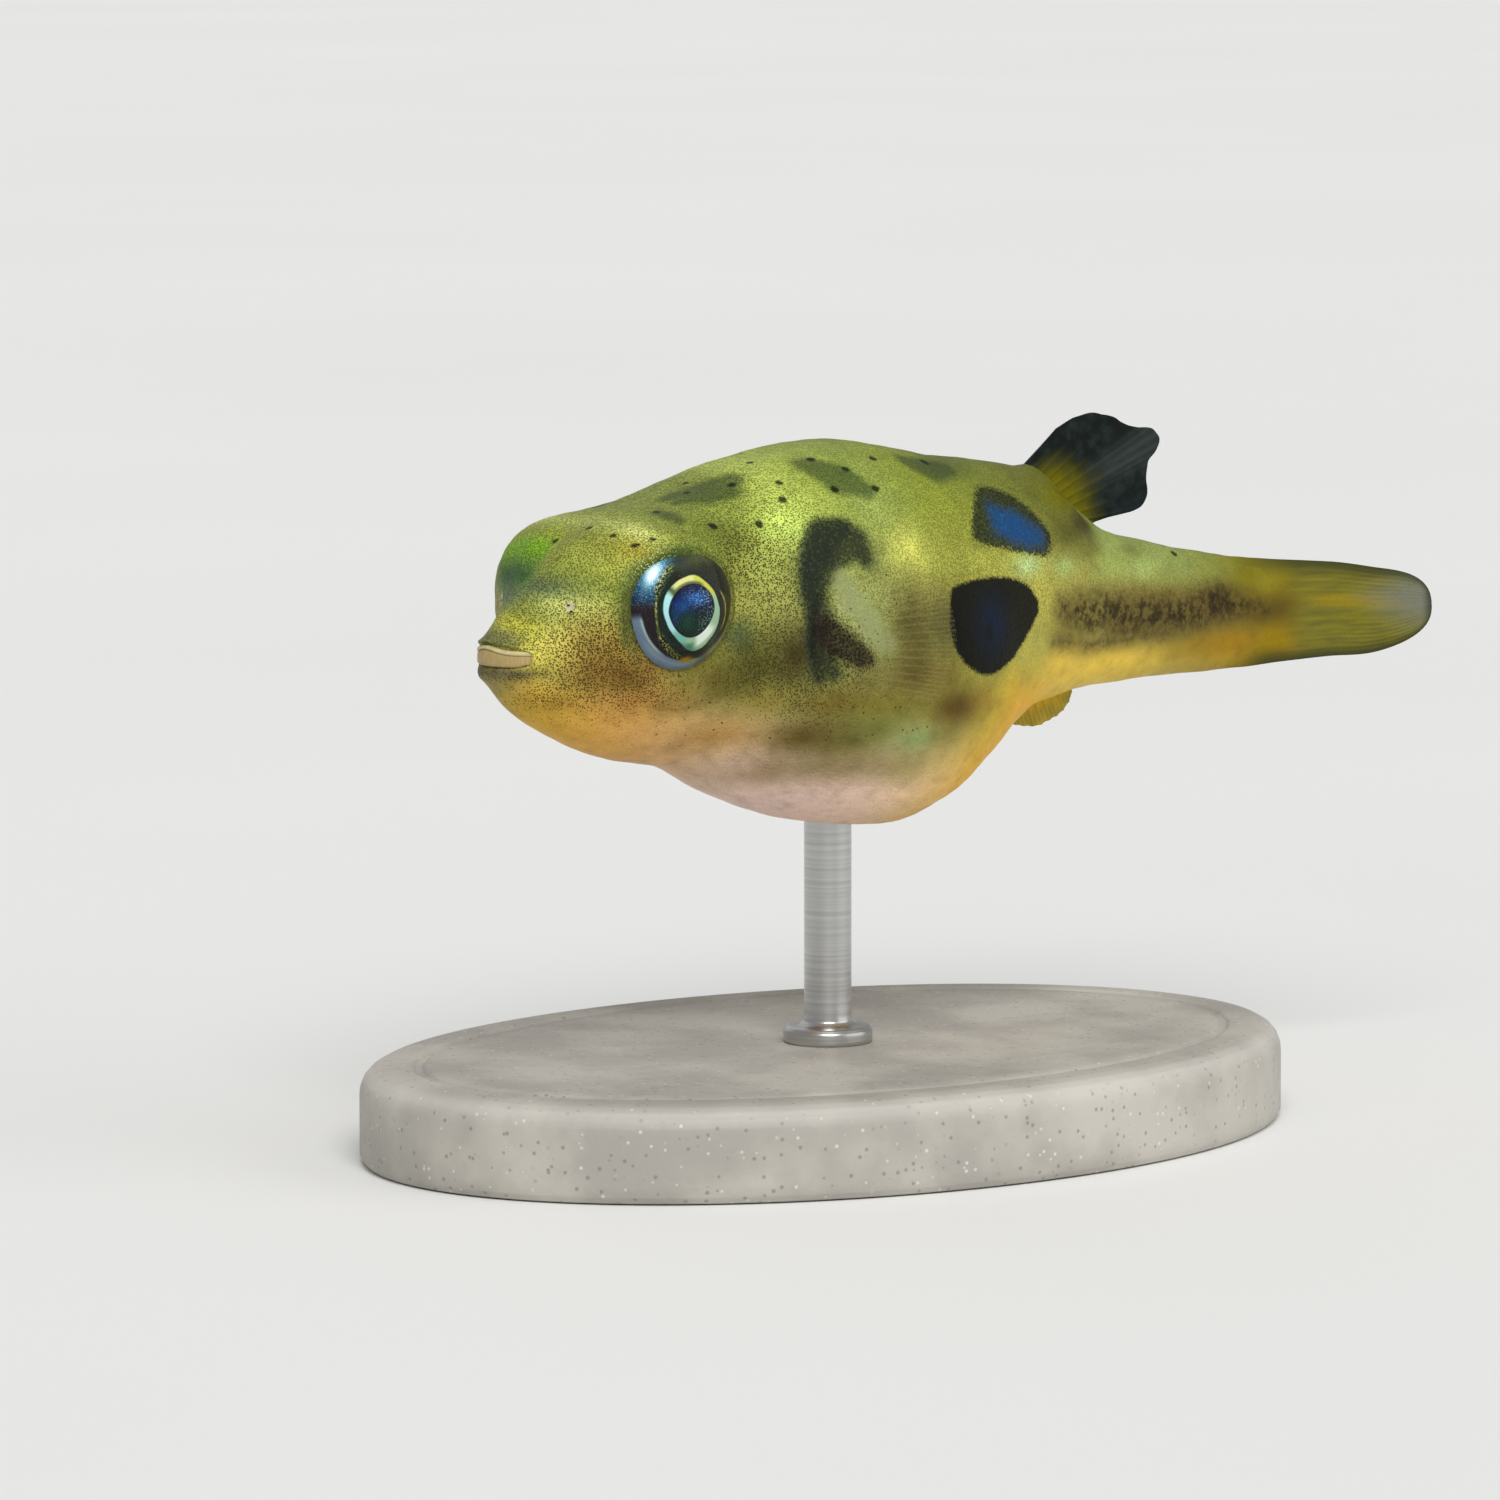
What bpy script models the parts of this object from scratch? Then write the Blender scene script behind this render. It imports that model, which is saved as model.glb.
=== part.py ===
"""Dwarf freshwater pufferfish, life size, as a still museum model held by a plain display stand.

The fish swims level, facing -X with its left side towards -Y. It is shaped in millimetres along its
own length, 0 at the lips and positive towards the tail, and then moved into the model's frame: metres,
+Z up, with the origin at the centre of the underside of the stand's base, under the balance point.
The body is one swept surface, parted into head, trunk and tail by thin cuts.
"""
import math

import bmesh
import bpy
import numpy as np
from mathutils import Vector

MM = 0.001

# ---- driving dimensions, in millimetres ----------------------------------------------------------
STANDARD_LENGTH = 24.0          # lips to the root of the tail fin
TAIL_FIN_LENGTH = 6.7
BALANCE_X = 10.6                # balance point, from the lips
SWIM_HEIGHT = 13.0              # level of the mouth above the floor
CUT = 0.10                      # thin cut between neighbouring pieces of flesh
FIN_GAP = 0.06                  # air between a fin's root and the body
RING_POINTS = 40                # points round each section of the body
TAIL_FIN_RING_POINTS = 24

# Each row is (distance from the lips, value): the body's outline and fullness along its length.
BACK = ((0.0, 0.33), (0.3, 0.57), (1.0, 1.18), (2.2, 2.22), (3.2, 2.82), (4.4, 3.08), (5.6, 3.45),
        (7.5, 4.22), (10.4, 4.66), (13.5, 4.16), (16.9, 3.60), (18.9, 2.10), (21.0, 1.50), (24.0, 0.93))
BELLY = ((0.0, -0.46), (0.3, -0.84), (0.9, -1.52), (2.1, -2.31), (3.6, -2.89), (5.2, -3.18),
         (7.3, -4.18), (9.5, -4.84), (11.8, -5.12), (13.2, -4.80), (14.4, -4.10), (15.6, -3.16),
         (16.9, -2.45), (18.9, -2.12), (21.4, -2.02), (24.0, -2.01))
HALF_WIDTH = ((0.0, 1.12), (0.3, 1.30), (1.0, 1.70), (2.2, 2.22), (3.2, 2.48), (4.4, 2.66), (6.0, 3.00),
              (8.0, 3.52), (10.5, 3.82), (13.0, 3.48), (15.6, 2.60), (17.6, 2.00), (19.6, 1.52), (22.0, 0.98),
              (24.0, 0.55))
WAIST_LEVEL = ((0.0, -0.05), (2.0, 0.0), (4.2, 0.3), (7.0, -0.1), (11.0, -0.5), (14.0, -0.2),
               (17.0, 0.1), (20.0, -0.2), (24.0, -0.54))
BACK_FULLNESS = ((0.0, 2.0), (1.0, 2.1), (2.0, 2.3), (3.4, 2.6), (5.0, 2.8), (7.0, 2.5), (11.0, 2.15), (24.0, 2.0))
BELLY_FULLNESS = ((0.0, 2.0), (3.0, 2.0), (8.0, 2.2), (13.0, 2.2), (17.0, 2.0), (24.0, 2.0))
FACE_CURVE = ((0.0, 0.55), (1.0, 0.40), (2.2, 0.20), (4.0, 0.0), (24.0, 0.0))   # setback per y squared

HEAD_END = 7.6                  # at the gill opening
TRUNK_END = 16.2                # ahead of the dorsal and anal fins
HEAD_STATIONS = (0.08, 0.3, 0.6, 1.0, 1.4, 1.8, 2.15, 2.5, 2.85, 3.2, 3.55, 3.9, 4.25, 4.6, 4.95, 5.3,
                 5.7, 6.1, 6.5, 6.9, 7.25)

# Mouth: rings (distance from the lips, half width, top, bottom) from the back of the pocket outwards.
MOUTH_RINGS = ((0.42, 0.92, 0.17, -0.26), (0.06, 0.98, 0.20, -0.29), (-0.05, 1.04, 0.26, -0.36))
BEAK_HALF_WIDTH = 0.86
BEAK_DEPTH = (0.10, 0.34)       # front and back faces, behind the lips
BEAK_SPANS = {"beak_upper": (-0.03, 0.13), "beak_lower": (-0.22, -0.06)}

EYE_CENTRE = (4.05, 2.16, 1.17)  # from the lips, out to one side, above the mouth
EYE_RADII = (1.73, 1.25, 1.73)
EYE_GAP = 0.07
ORBIT_CENTRE = (4.05, 1.00, 1.05)
ORBIT_RADII = (2.10, 2.00, 1.92)
ORBIT_POWER = 2.8
ORBIT_BLEND = 0.32
ORBIT_FACE = 2.78               # how far out the flesh reaches round the eye
ORBIT_FACE_SOFTNESS = 0.25
SHOULDER_CENTRE = (8.8, 3.05, -0.1)   # the fleshy lobe that carries the pectoral fin
SHOULDER_RADII = (1.05, 0.85, 1.70)
SHOULDER_BLEND = 0.12

FIN_THICKNESS = (0.60, 0.50)    # at the root and at the rim
DORSAL_ROOT = (16.95, 18.80)
DORSAL_RIM = ((17.40, 4.28), (18.10, 4.66), (19.20, 4.91), (20.60, 4.62), (21.34, 4.30), (21.34, 3.95),
              (21.04, 3.45), (21.14, 3.05), (21.10, 2.56), (20.85, 2.35), (20.20, 2.33))
ANAL_ROOT = (16.45, 17.95)
ANAL_RIM = ((16.62, -2.92), (17.20, -3.04), (17.65, -3.06), (18.26, -2.80), (18.48, -2.50))
TAIL_FIN_TOP = ((24.1, 0.90), (25.6, 0.75), (27.4, 0.60), (29.1, 0.30), (30.0, 0.06), (30.5, -0.16),
                (30.8, -0.50))
TAIL_FIN_BOTTOM = ((24.1, -2.00), (25.6, -1.95), (27.4, -1.92), (29.2, -1.78), (30.1, -1.50),
                   (30.6, -1.14), (30.8, -0.86))
TAIL_FIN_HALF = ((24.1, 0.46), (25.4, 0.34), (27.0, 0.27), (30.8, 0.25))

PECTORAL_BASE = (9.15, 3.66, -0.05)   # middle of the fin's root, set into the lobe
PECTORAL_ROOT_HALF = 1.15
PECTORAL_LENGTH = 2.2
PECTORAL_SPREAD = 1.45          # half height at the rim
PECTORAL_FLARE = math.radians(22)   # how far the fin stands off the flank
PECTORAL_THICKNESS = 0.5
SLOT_GAP = 0.06                 # air round the root of the fin, in the slot that holds it

BASE_LENGTH, BASE_WIDTH, BASE_HEIGHT = 26.0, 18.0, 2.4
BASE_BEVEL = 0.5
ROD_DIAMETER = 1.2
ROD_SINK = 1.2                  # how deep the rod stands in the base and in the belly
ROD_GAP = 0.08


def curve(rows, x):
    """Read a smooth line through (place, value) rows that never overshoots between two of them."""
    places, values = np.array(rows, float).T
    step = np.diff(places)
    slope = np.diff(values) / step
    tangent = np.concatenate(([slope[0]], np.zeros(len(slope) - 1), [slope[-1]]))
    rising = slope[:-1] * slope[1:] > 0
    before, after = 2 * step[1:] + step[:-1], step[1:] + 2 * step[:-1]
    safe = np.where(rising, slope[:-1] * slope[1:], 1.0)
    mean = (before + after) * safe / (before * slope[1:] + after * slope[:-1] + (~rising))
    tangent[1:-1] = np.where(rising, mean, 0.0)
    x = np.clip(np.asarray(x, float), places[0], places[-1])
    i = np.clip(np.searchsorted(places, x) - 1, 0, len(step) - 1)
    t = (x - places[i]) / step[i]
    return ((2 * t**3 - 3 * t**2 + 1) * values[i] + (t**3 - 2 * t**2 + t) * step[i] * tangent[i]
            + (3 * t**2 - 2 * t**3) * values[i + 1] + (t**3 - t**2) * step[i] * tangent[i + 1])


def round_power(value, fullness):
    """Raise a sine or cosine to the power that makes a round section fuller or leaner."""
    return np.sign(value) * np.abs(value) ** (2.0 / fullness)


def swell(points, centre, radii, power, blend):
    """Push points out so that they wrap a rounded swelling, fading softly into the flesh round it."""
    offset = points - np.array(centre)
    depth = (np.abs(offset / np.array(radii)) ** power).sum(-1) ** (1.0 / power)
    reach = 0.5 * (depth + 1.0 + np.sqrt((depth - 1.0) ** 2 + blend**2))
    return np.array(centre) + offset * (reach / depth)[..., None]


def ring_angles(count):
    """Angles round a section: 0 at the left flank, a quarter turn at the back."""
    return np.arange(count) * 2 * math.pi / count


def plain_ring(x, half_width, level, top, bottom, back_fullness=2.0, belly_fullness=2.0, setback=0.0,
               count=RING_POINTS):
    """One closed section of the body, bent back at its sides by setback times y squared."""
    angle = ring_angles(count)
    across, up = np.cos(angle), np.sin(angle)
    fullness = np.where(up > 0, back_fullness, belly_fullness)
    y = -half_width * round_power(across, fullness)
    z = level + np.where(up > 0, top - level, level - bottom) * round_power(up, fullness)
    return np.stack([x + setback * y * y, y, z], -1)


def body_ring(x):
    """The body's section at a distance x from the lips, with the swellings round eyes and shoulders."""
    ring = plain_ring(x, curve(HALF_WIDTH, x), curve(WAIST_LEVEL, x), curve(BACK, x), curve(BELLY, x),
                      curve(BACK_FULLNESS, x), curve(BELLY_FULLNESS, x), curve(FACE_CURVE, x))
    for side in (-1, 1):
        mirror = np.array((1, side, 1))
        ring = swell(ring, ORBIT_CENTRE * mirror, ORBIT_RADII, ORBIT_POWER, ORBIT_BLEND)
        ring = swell(ring, SHOULDER_CENTRE * mirror, SHOULDER_RADII, 2.0, SHOULDER_BLEND)
    out = np.abs(ring[:, 1])
    face = np.maximum(ORBIT_FACE, out * (ring[:, 0] > ORBIT_CENTRE[0] + ORBIT_RADII[0]))
    held = 0.5 * (out + face - np.sqrt((out - face) ** 2 + ORBIT_FACE_SOFTNESS**2))
    near_eye = np.clip(1.0 - (ring[:, 0] - ORBIT_CENTRE[0] - 1.0) / 1.5, 0.0, 1.0)
    ring[:, 1] = np.sign(ring[:, 1]) * (near_eye * np.minimum(out, held) + (1.0 - near_eye) * out)
    return ring


def mouth_ring(row):
    """A ring of the mouth's pocket or of the lips, curved round the snout."""
    x, half_width, top, bottom = row
    return plain_ring(x, half_width, (top + bottom) / 2, top, bottom, setback=FACE_CURVE[0][1])


def tail_fin_ring(x):
    """The tail fin's section at a distance x from the lips."""
    top, bottom = curve(TAIL_FIN_TOP, x), curve(TAIL_FIN_BOTTOM, x)
    return plain_ring(x, curve(TAIL_FIN_HALF, x), (top + bottom) / 2, top, bottom, 2.6, 2.6,
                      count=TAIL_FIN_RING_POINTS)


def placed(points):
    """Move points from the fish's own millimetres into the model's frame, in metres."""
    return (np.asarray(points, float) + (-BALANCE_X, 0.0, SWIM_HEIGHT)) * MM


def material(name, colour, roughness, metallic=0.0):
    """A Principled material with one plain colour."""
    made = bpy.data.materials.new(name)
    made.use_nodes = True
    shader = made.node_tree.nodes["Principled BSDF"]
    shader.inputs["Base Color"].default_value = (*colour, 1.0)
    shader.inputs["Roughness"].default_value = roughness
    shader.inputs["Metallic"].default_value = metallic
    made.diffuse_color = (*colour, 1.0)
    return made


def finish(name, body, finish_material, sharp_angle=math.radians(50)):
    """Turn a bmesh into a named, shaded object with its faces pointing out."""
    body.normal_update()
    bmesh.ops.recalc_face_normals(body, faces=body.faces)
    mesh = bpy.data.meshes.new(name)
    body.to_mesh(mesh)
    body.free()
    mesh.shade_smooth()
    mesh.set_sharp_from_angle(angle=sharp_angle)
    mesh.materials.append(finish_material)
    made = bpy.data.objects.new(name, mesh)
    bpy.context.collection.objects.link(made)
    return made


def loft(name, rings, finish_material):
    """Skin a row of rings and close both ends with a fan round the end ring's middle."""
    body = bmesh.new()
    rows = [[body.verts.new(point) for point in placed(ring)] for ring in rings]
    count = len(rows[0])
    for row, following in zip(rows, rows[1:]):
        for i in range(count):
            j = (i + 1) % count
            body.faces.new((row[i], row[j], following[j], following[i]))
    for ring, row in ((rings[0], rows[0]), (rings[-1], rows[-1])):
        middle = body.verts.new(placed(ring.mean(axis=0)))
        for i in range(count):
            body.faces.new((middle, row[i], row[(i + 1) % count]))
    return finish(name, body, finish_material)


def plate(name, roots, rims, across, thickness, finish_material, steps=4):
    """A fin: rays from its root to its rim, with a face on each side and a wall round the edge."""
    body = bmesh.new()
    along = np.linspace(0.0, 1.0, steps + 1)[None, :, None]
    middle = roots[:, None] * (1 - along) + rims[:, None] * along
    half = 0.5 * (thickness[0] * (1 - along) + thickness[1] * along)
    faces = [[[body.verts.new(point) for point in ray] for ray in placed(middle + side * half * across)]
             for side in (-1, 1)]
    for grid in faces:
        for ray, following in zip(grid, grid[1:]):
            for i in range(steps):
                body.faces.new((ray[i], following[i], following[i + 1], ray[i + 1]))
    edges = [[grid[0][i] for i in range(steps + 1)] + [ray[-1] for ray in grid[1:]]
             + [grid[-1][i] for i in range(steps - 1, -1, -1)] + [ray[0] for ray in grid[-2:0:-1]]
             for grid in faces]
    for i in range(len(edges[0])):
        j = (i + 1) % len(edges[0])
        body.faces.new((edges[0][i], edges[0][j], edges[1][j], edges[1][i]))
    return finish(name, body, finish_material)


def spread(rows, count):
    """Points at even steps of length along a smooth line through the rows of an outline."""
    rows = np.array(rows, float)
    length = np.concatenate(([0.0], np.cumsum(np.linalg.norm(np.diff(rows, axis=0), axis=1))))
    at = np.linspace(0.0, length[-1], count)
    return [curve(np.column_stack([length, column]), at) for column in rows.T]


def ellipsoid(name, centre, radii, finish_material, segments=26, rings=14):
    """A ball with three radii, its poles on the side-to-side axis."""
    body = bmesh.new()
    bmesh.ops.create_uvsphere(body, u_segments=segments, v_segments=rings, radius=1.0)
    for vert in body.verts:
        x, y, z = vert.co
        vert.co = Vector(placed((centre[0] + x * radii[0], centre[1] + z * radii[1],
                                 centre[2] + y * radii[2])))
    return finish(name, body, finish_material)


def carve(target, cutter):
    """Cut one solid out of another and keep the cutter as a guide that is left out of the model."""
    cutter.hide_render = True
    cutter.display_type = "WIRE"
    cut = target.modifiers.new(f"cut by {cutter.name}", "BOOLEAN")
    cut.operation = "DIFFERENCE"
    cut.object = cutter


def stations(start, end, spacing):
    """Even places between two ends, at most a given spacing apart."""
    return np.linspace(start, end, math.ceil((end - start) / spacing) + 1)


def make_head(skin):
    """The head: mouth pocket, lips and face back to the gill opening, with a socket for each eye."""
    rings = [mouth_ring(row) for row in MOUTH_RINGS]
    rings += [body_ring(x) for x in (*HEAD_STATIONS, HEAD_END - CUT / 2)]
    head = loft("head", rings, skin)
    grown = [radius + EYE_GAP for radius in EYE_RADII]
    for side, word in ((-1, "left"), (1, "right")):
        centre = (EYE_CENTRE[0], side * EYE_CENTRE[1], EYE_CENTRE[2])
        carve(head, ellipsoid(f"guide_socket_{word}", centre, grown, skin))


def make_eyes(eye_finish):
    """An eyeball for each side."""
    for side, word in ((-1, "left"), (1, "right")):
        centre = (EYE_CENTRE[0], side * EYE_CENTRE[1], EYE_CENTRE[2])
        ellipsoid(f"eye_{word}", centre, EYE_RADII, eye_finish)


def make_beak(horn):
    """The two halves of the beak, each a strip that follows the lips round the snout."""
    across = np.linspace(-BEAK_HALF_WIDTH, BEAK_HALF_WIDTH, 15)
    taper = np.sqrt(1.0 - 0.9 * (across / BEAK_HALF_WIDTH) ** 4)
    front, back = (depth + FACE_CURVE[0][1] * across**2 for depth in BEAK_DEPTH)
    for name, (low, high) in BEAK_SPANS.items():
        middle, half = (low + high) / 2, (high - low) / 2 * taper
        corners = ((front, -half), (front, half), (back, half), (back, -half))
        strip = np.array([np.stack([x, across, middle + z], -1) for x, z in corners])
        loft(name, list(strip.transpose(1, 0, 2)), horn)


def make_trunk(skin):
    """The trunk, from the gill opening to the vent, with a blind hole for the stand's rod."""
    places = stations(HEAD_END + CUT / 2, TRUNK_END - CUT / 2, 0.5)
    trunk = loft("trunk", [body_ring(x) for x in places], skin)
    top = SWIM_HEIGHT + curve(BELLY, BALANCE_X) + ROD_SINK + ROD_GAP
    hole = cylinder("guide_rod_hole", ROD_DIAMETER / 2 + ROD_GAP, BASE_HEIGHT, float(top), skin)
    carve(trunk, hole)


def make_tail(skin):
    """The narrow wrist of the tail, up to the root of the tail fin."""
    places = stations(TRUNK_END + CUT / 2, STANDARD_LENGTH, 0.6)
    loft("tail", [body_ring(x) for x in places], skin)


def make_tail_fin(fin_finish):
    """The tail fin, a rounded paddle that thins towards its rim."""
    end = STANDARD_LENGTH + TAIL_FIN_LENGTH
    places = np.concatenate((stations(STANDARD_LENGTH + CUT, end - 0.9, 0.7), end - np.array((0.5, 0.2, 0.0))))
    loft("fin_caudal", [tail_fin_ring(x) for x in places], fin_finish)


def make_middle_fin(name, root, rim, outline, clearance, fin_finish, rays):
    """A fin on the fish's middle line, whose root follows the outline of the back or the belly."""
    root_x = np.linspace(*root, rays)
    roots = np.stack([root_x, 0 * root_x, curve(outline, root_x) + clearance], -1)
    rim_x, rim_z = spread(rim, rays)
    rims = np.stack([rim_x, 0 * rim_x, rim_z], -1)
    plate(name, roots, rims, np.array((0.0, 1.0, 0.0)), FIN_THICKNESS, fin_finish)


def pectoral_fan(name, side, gap, finish_material, rays=11):
    """One pectoral fin, or the same fan grown by a gap all round, as the cutter of its slot."""
    turn = np.linspace(-1.0, 1.0, rays)
    out, back = math.sin(PECTORAL_FLARE), math.cos(PECTORAL_FLARE)
    base = np.array((PECTORAL_BASE[0], side * PECTORAL_BASE[1], PECTORAL_BASE[2]))
    away = np.array((back, side * out, 0.0))
    bow = 0.35 * (1.0 - turn**2) - gap
    reach = PECTORAL_LENGTH * np.sqrt(1.0 - 0.35 * turn**2) + gap
    roots = base + np.outer(turn, (0, 0, PECTORAL_ROOT_HALF + gap)) + np.outer(bow, away)
    rims = base + np.outer(turn, (0, 0, PECTORAL_SPREAD + gap)) + np.outer(reach, away)
    across = np.array((-side * out, back, 0.0))
    thickness = PECTORAL_THICKNESS + 2 * gap
    return plate(name, roots, rims, across, (thickness, thickness), finish_material)


def make_pectoral_fins(fin_finish):
    """A fan on each side, standing off the flank, its root held in a slot in the shoulder lobe."""
    trunk = bpy.data.objects["trunk"]
    for side, word in ((-1, "left"), (1, "right")):
        pectoral_fan(f"fin_pectoral_{word}", side, 0.0, fin_finish)
        carve(trunk, pectoral_fan(f"guide_slot_{word}", side, SLOT_GAP, fin_finish))


def cylinder(name, radius, low, high, finish_material, segments=24):
    """An upright round bar on the stand's axis, between two heights in millimetres."""
    body = bmesh.new()
    bmesh.ops.create_cone(body, cap_ends=True, segments=segments, radius1=radius * MM, radius2=radius * MM,
                          depth=(high - low) * MM)
    bmesh.ops.translate(body, verts=body.verts, vec=Vector((0, 0, (high + low) / 2 * MM)))
    return finish(name, body, finish_material)


def make_stand(base_finish, rod_finish):
    """An oval base with a softened top edge, and one rod that stands in it and in the belly."""
    body = bmesh.new()
    bmesh.ops.create_cone(body, cap_ends=True, segments=48, radius1=1.0, radius2=1.0, depth=1.0)
    bmesh.ops.translate(body, verts=body.verts, vec=Vector((0, 0, 0.5)))
    bmesh.ops.scale(body, verts=body.verts,
                    vec=Vector((BASE_LENGTH / 2, BASE_WIDTH / 2, BASE_HEIGHT)) * MM)
    top_edges = [edge for edge in body.edges if all(v.co.z > BASE_HEIGHT * MM * 0.9 for v in edge.verts)]
    bmesh.ops.bevel(body, geom=top_edges, offset=BASE_BEVEL * MM, segments=3, profile=0.5,
                    affect="EDGES")
    base = finish("stand_base", body, base_finish)
    foot = BASE_HEIGHT - ROD_SINK
    carve(base, cylinder("guide_base_hole", ROD_DIAMETER / 2 + ROD_GAP, foot - ROD_GAP, BASE_HEIGHT + 1,
                         base_finish))
    top = SWIM_HEIGHT + float(curve(BELLY, BALANCE_X)) + ROD_SINK
    cylinder("stand_rod", ROD_DIAMETER / 2, foot, top, rod_finish)


def main():
    """Clear the scene and make the fish, piece by piece, and its stand."""
    for old in list(bpy.data.objects):
        bpy.data.objects.remove(old)
    skin = material("skin", (0.36, 0.36, 0.07), 0.35)
    dark_fin = material("dark fin", (0.03, 0.04, 0.03), 0.4)
    olive_fin = material("olive fin", (0.35, 0.27, 0.04), 0.4)
    clear_fin = material("clear fin", (0.55, 0.55, 0.35), 0.35)
    eye_finish = material("eye", (0.02, 0.06, 0.10), 0.08)
    horn = material("beak", (0.50, 0.43, 0.24), 0.4)
    stone = material("stand base", (0.62, 0.61, 0.58), 0.5)
    steel = material("stand rod", (0.60, 0.60, 0.60), 0.3, 1.0)

    make_head(skin)
    make_eyes(eye_finish)
    make_beak(horn)
    make_trunk(skin)
    make_tail(skin)
    make_tail_fin(olive_fin)
    make_middle_fin("fin_dorsal", DORSAL_ROOT, DORSAL_RIM, BACK, FIN_GAP, dark_fin, rays=23)
    make_middle_fin("fin_anal", ANAL_ROOT, ANAL_RIM, BELLY, -FIN_GAP, olive_fin, rays=11)
    make_pectoral_fins(clear_fin)
    make_stand(stone, steel)


main()
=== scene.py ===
"""Dressed museum model of a dwarf freshwater pufferfish, life size, on its display stand.

Shapes are worked out in millimetres in the fish's own frame: x runs from the lips to the tail, y to the
fish's right, z up from the level of the mouth. A Placement moves them into the model's frame, in metres.
"""
import logging
import math
from dataclasses import dataclass, field
from enum import Enum

import bpy
import numpy as np
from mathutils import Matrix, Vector


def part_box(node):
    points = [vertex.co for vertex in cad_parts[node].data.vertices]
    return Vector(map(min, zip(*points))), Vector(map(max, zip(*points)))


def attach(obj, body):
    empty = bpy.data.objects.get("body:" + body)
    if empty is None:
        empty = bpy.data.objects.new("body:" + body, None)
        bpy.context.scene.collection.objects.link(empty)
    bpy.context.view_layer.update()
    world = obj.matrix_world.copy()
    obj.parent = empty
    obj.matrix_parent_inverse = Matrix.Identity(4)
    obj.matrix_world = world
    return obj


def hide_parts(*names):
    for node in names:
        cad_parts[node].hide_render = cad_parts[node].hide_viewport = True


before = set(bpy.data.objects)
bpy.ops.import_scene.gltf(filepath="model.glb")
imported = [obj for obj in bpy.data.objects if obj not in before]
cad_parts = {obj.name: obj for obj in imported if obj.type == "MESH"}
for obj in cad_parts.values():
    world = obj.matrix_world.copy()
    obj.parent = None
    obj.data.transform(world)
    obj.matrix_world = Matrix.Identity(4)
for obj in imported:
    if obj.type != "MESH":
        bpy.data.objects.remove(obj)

Array = np.ndarray
Rgb = tuple[int, int, int]
Spot = tuple[float, float, float]
Socket = bpy.types.NodeSocket
Material = bpy.types.Material
Piece = bpy.types.Object
Coat = Rgb | Socket

MM = 0.001
DEGREES = 57.3  # in one radian
FAR = 99  # farther than any mark lies, in millimetres
ROOT = "root"
log = logging.getLogger("pufferfish")


# ---- numbers and lines ----

class Side(Enum):
    """Which side of the fish a piece or a mark belongs to; the value is the sign of y."""

    LEFT = -1
    RIGHT = 1

    @property
    def word(self) -> str:
        """The side's name in a piece's name."""
        return self.name.lower()

    def of(self, spot: Spot) -> Array:
        """A place given for the right side, on this one."""
        return np.array(spot) * (1, self.value, 1)


@dataclass(frozen=True)
class Line:
    """A smooth line through (place, value) rows that never overshoots between two of them."""

    rows: tuple[tuple[float, ...], ...]

    def at(self, x: Array | float, column: int = 1) -> Array:
        """Read the line: a cubic between neighbouring rows whose slopes are harmonic means.

        Args:
            x: Places to read at; past an end the end's value holds.
            column: Which column of the rows to read.

        Returns:
            The values, in the shape of x.
        """
        table = np.array(self.rows, float)
        places, values = table[:, 0], table[:, column]
        step = np.diff(places)
        slope = np.diff(values) / step
        tangent = np.concatenate(([slope[0]], np.zeros(len(slope) - 1), [slope[-1]]))
        rising = slope[:-1] * slope[1:] > 0
        before, after = 2 * step[1:] + step[:-1], step[1:] + 2 * step[:-1]
        safe = np.where(rising, slope[:-1] * slope[1:], 1)
        mean = (before + after) * safe / (before * slope[1:] + after * slope[:-1] + (~rising))
        tangent[1:-1] = np.where(rising, mean, 0)
        x = np.clip(np.asarray(x, float), places[0], places[-1])
        i = np.clip(np.searchsorted(places, x) - 1, 0, len(step) - 1)
        t = (x - places[i]) / step[i]
        return ((2 * t**3 - 3 * t**2 + 1) * values[i] + (t**3 - 2 * t**2 + t) * step[i] * tangent[i]
                + (3 * t**2 - 2 * t**3) * values[i + 1] + (t**3 - t**2) * step[i] * tangent[i + 1])


def ease(value: Array | float, low: float, high: float) -> Array:
    """Rise smoothly from 0 at low to 1 at high: 3t^2 - 2t^3. With low above high it falls."""
    t = np.clip((np.asarray(value, float) - low) / (high - low), 0, 1)
    return t * t * (3 - 2 * t)


def bell(value: Array | float, width: float) -> Array:
    """A soft hump of height 1 at 0: exp(-(value / width)^2)."""
    return np.exp(-((np.asarray(value, float) / width) ** 2))


def blot(u: Array, v: Array, middle: tuple[float, float], reach: tuple[float, float]) -> Array:
    """A soft oval spot of height 1 at its middle: a bell of the distance measured in reaches."""
    return bell(np.hypot((u - middle[0]) / reach[0], (v - middle[1]) / reach[1]), 1)


def joined(*axes: Array | float) -> Array:
    """Points, or rows of corners, from the arrays or numbers of their coordinates."""
    return np.stack(np.broadcast_arrays(*axes), -1)


def turns(count: int) -> Array:
    """Evenly spaced angles of one whole turn, as a row."""
    return (np.arange(count) * 2 * math.pi / count)[None, :]


def round_power(value: Array, fullness: Array | float) -> Array:
    """Raise a sine or cosine to the power that makes a round section fuller or leaner."""
    return np.sign(value) * np.abs(value) ** (2 / fullness)


def linear(shown: Array) -> Array:
    """Turn colours as a screen shows them (0 to 255) into linear light: ((share + .055) / 1.055)^2.4."""
    share = np.asarray(shown, float) / 255
    return np.where(share <= 0.04045, share / 12.92, ((share + 0.055) / 1.055) ** 2.4)


def light(colour: Rgb) -> tuple[float, float, float, float]:
    """One screen colour as the four linear numbers a shader's socket takes."""
    return (*(float(channel) for channel in linear(colour)), 1)


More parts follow.
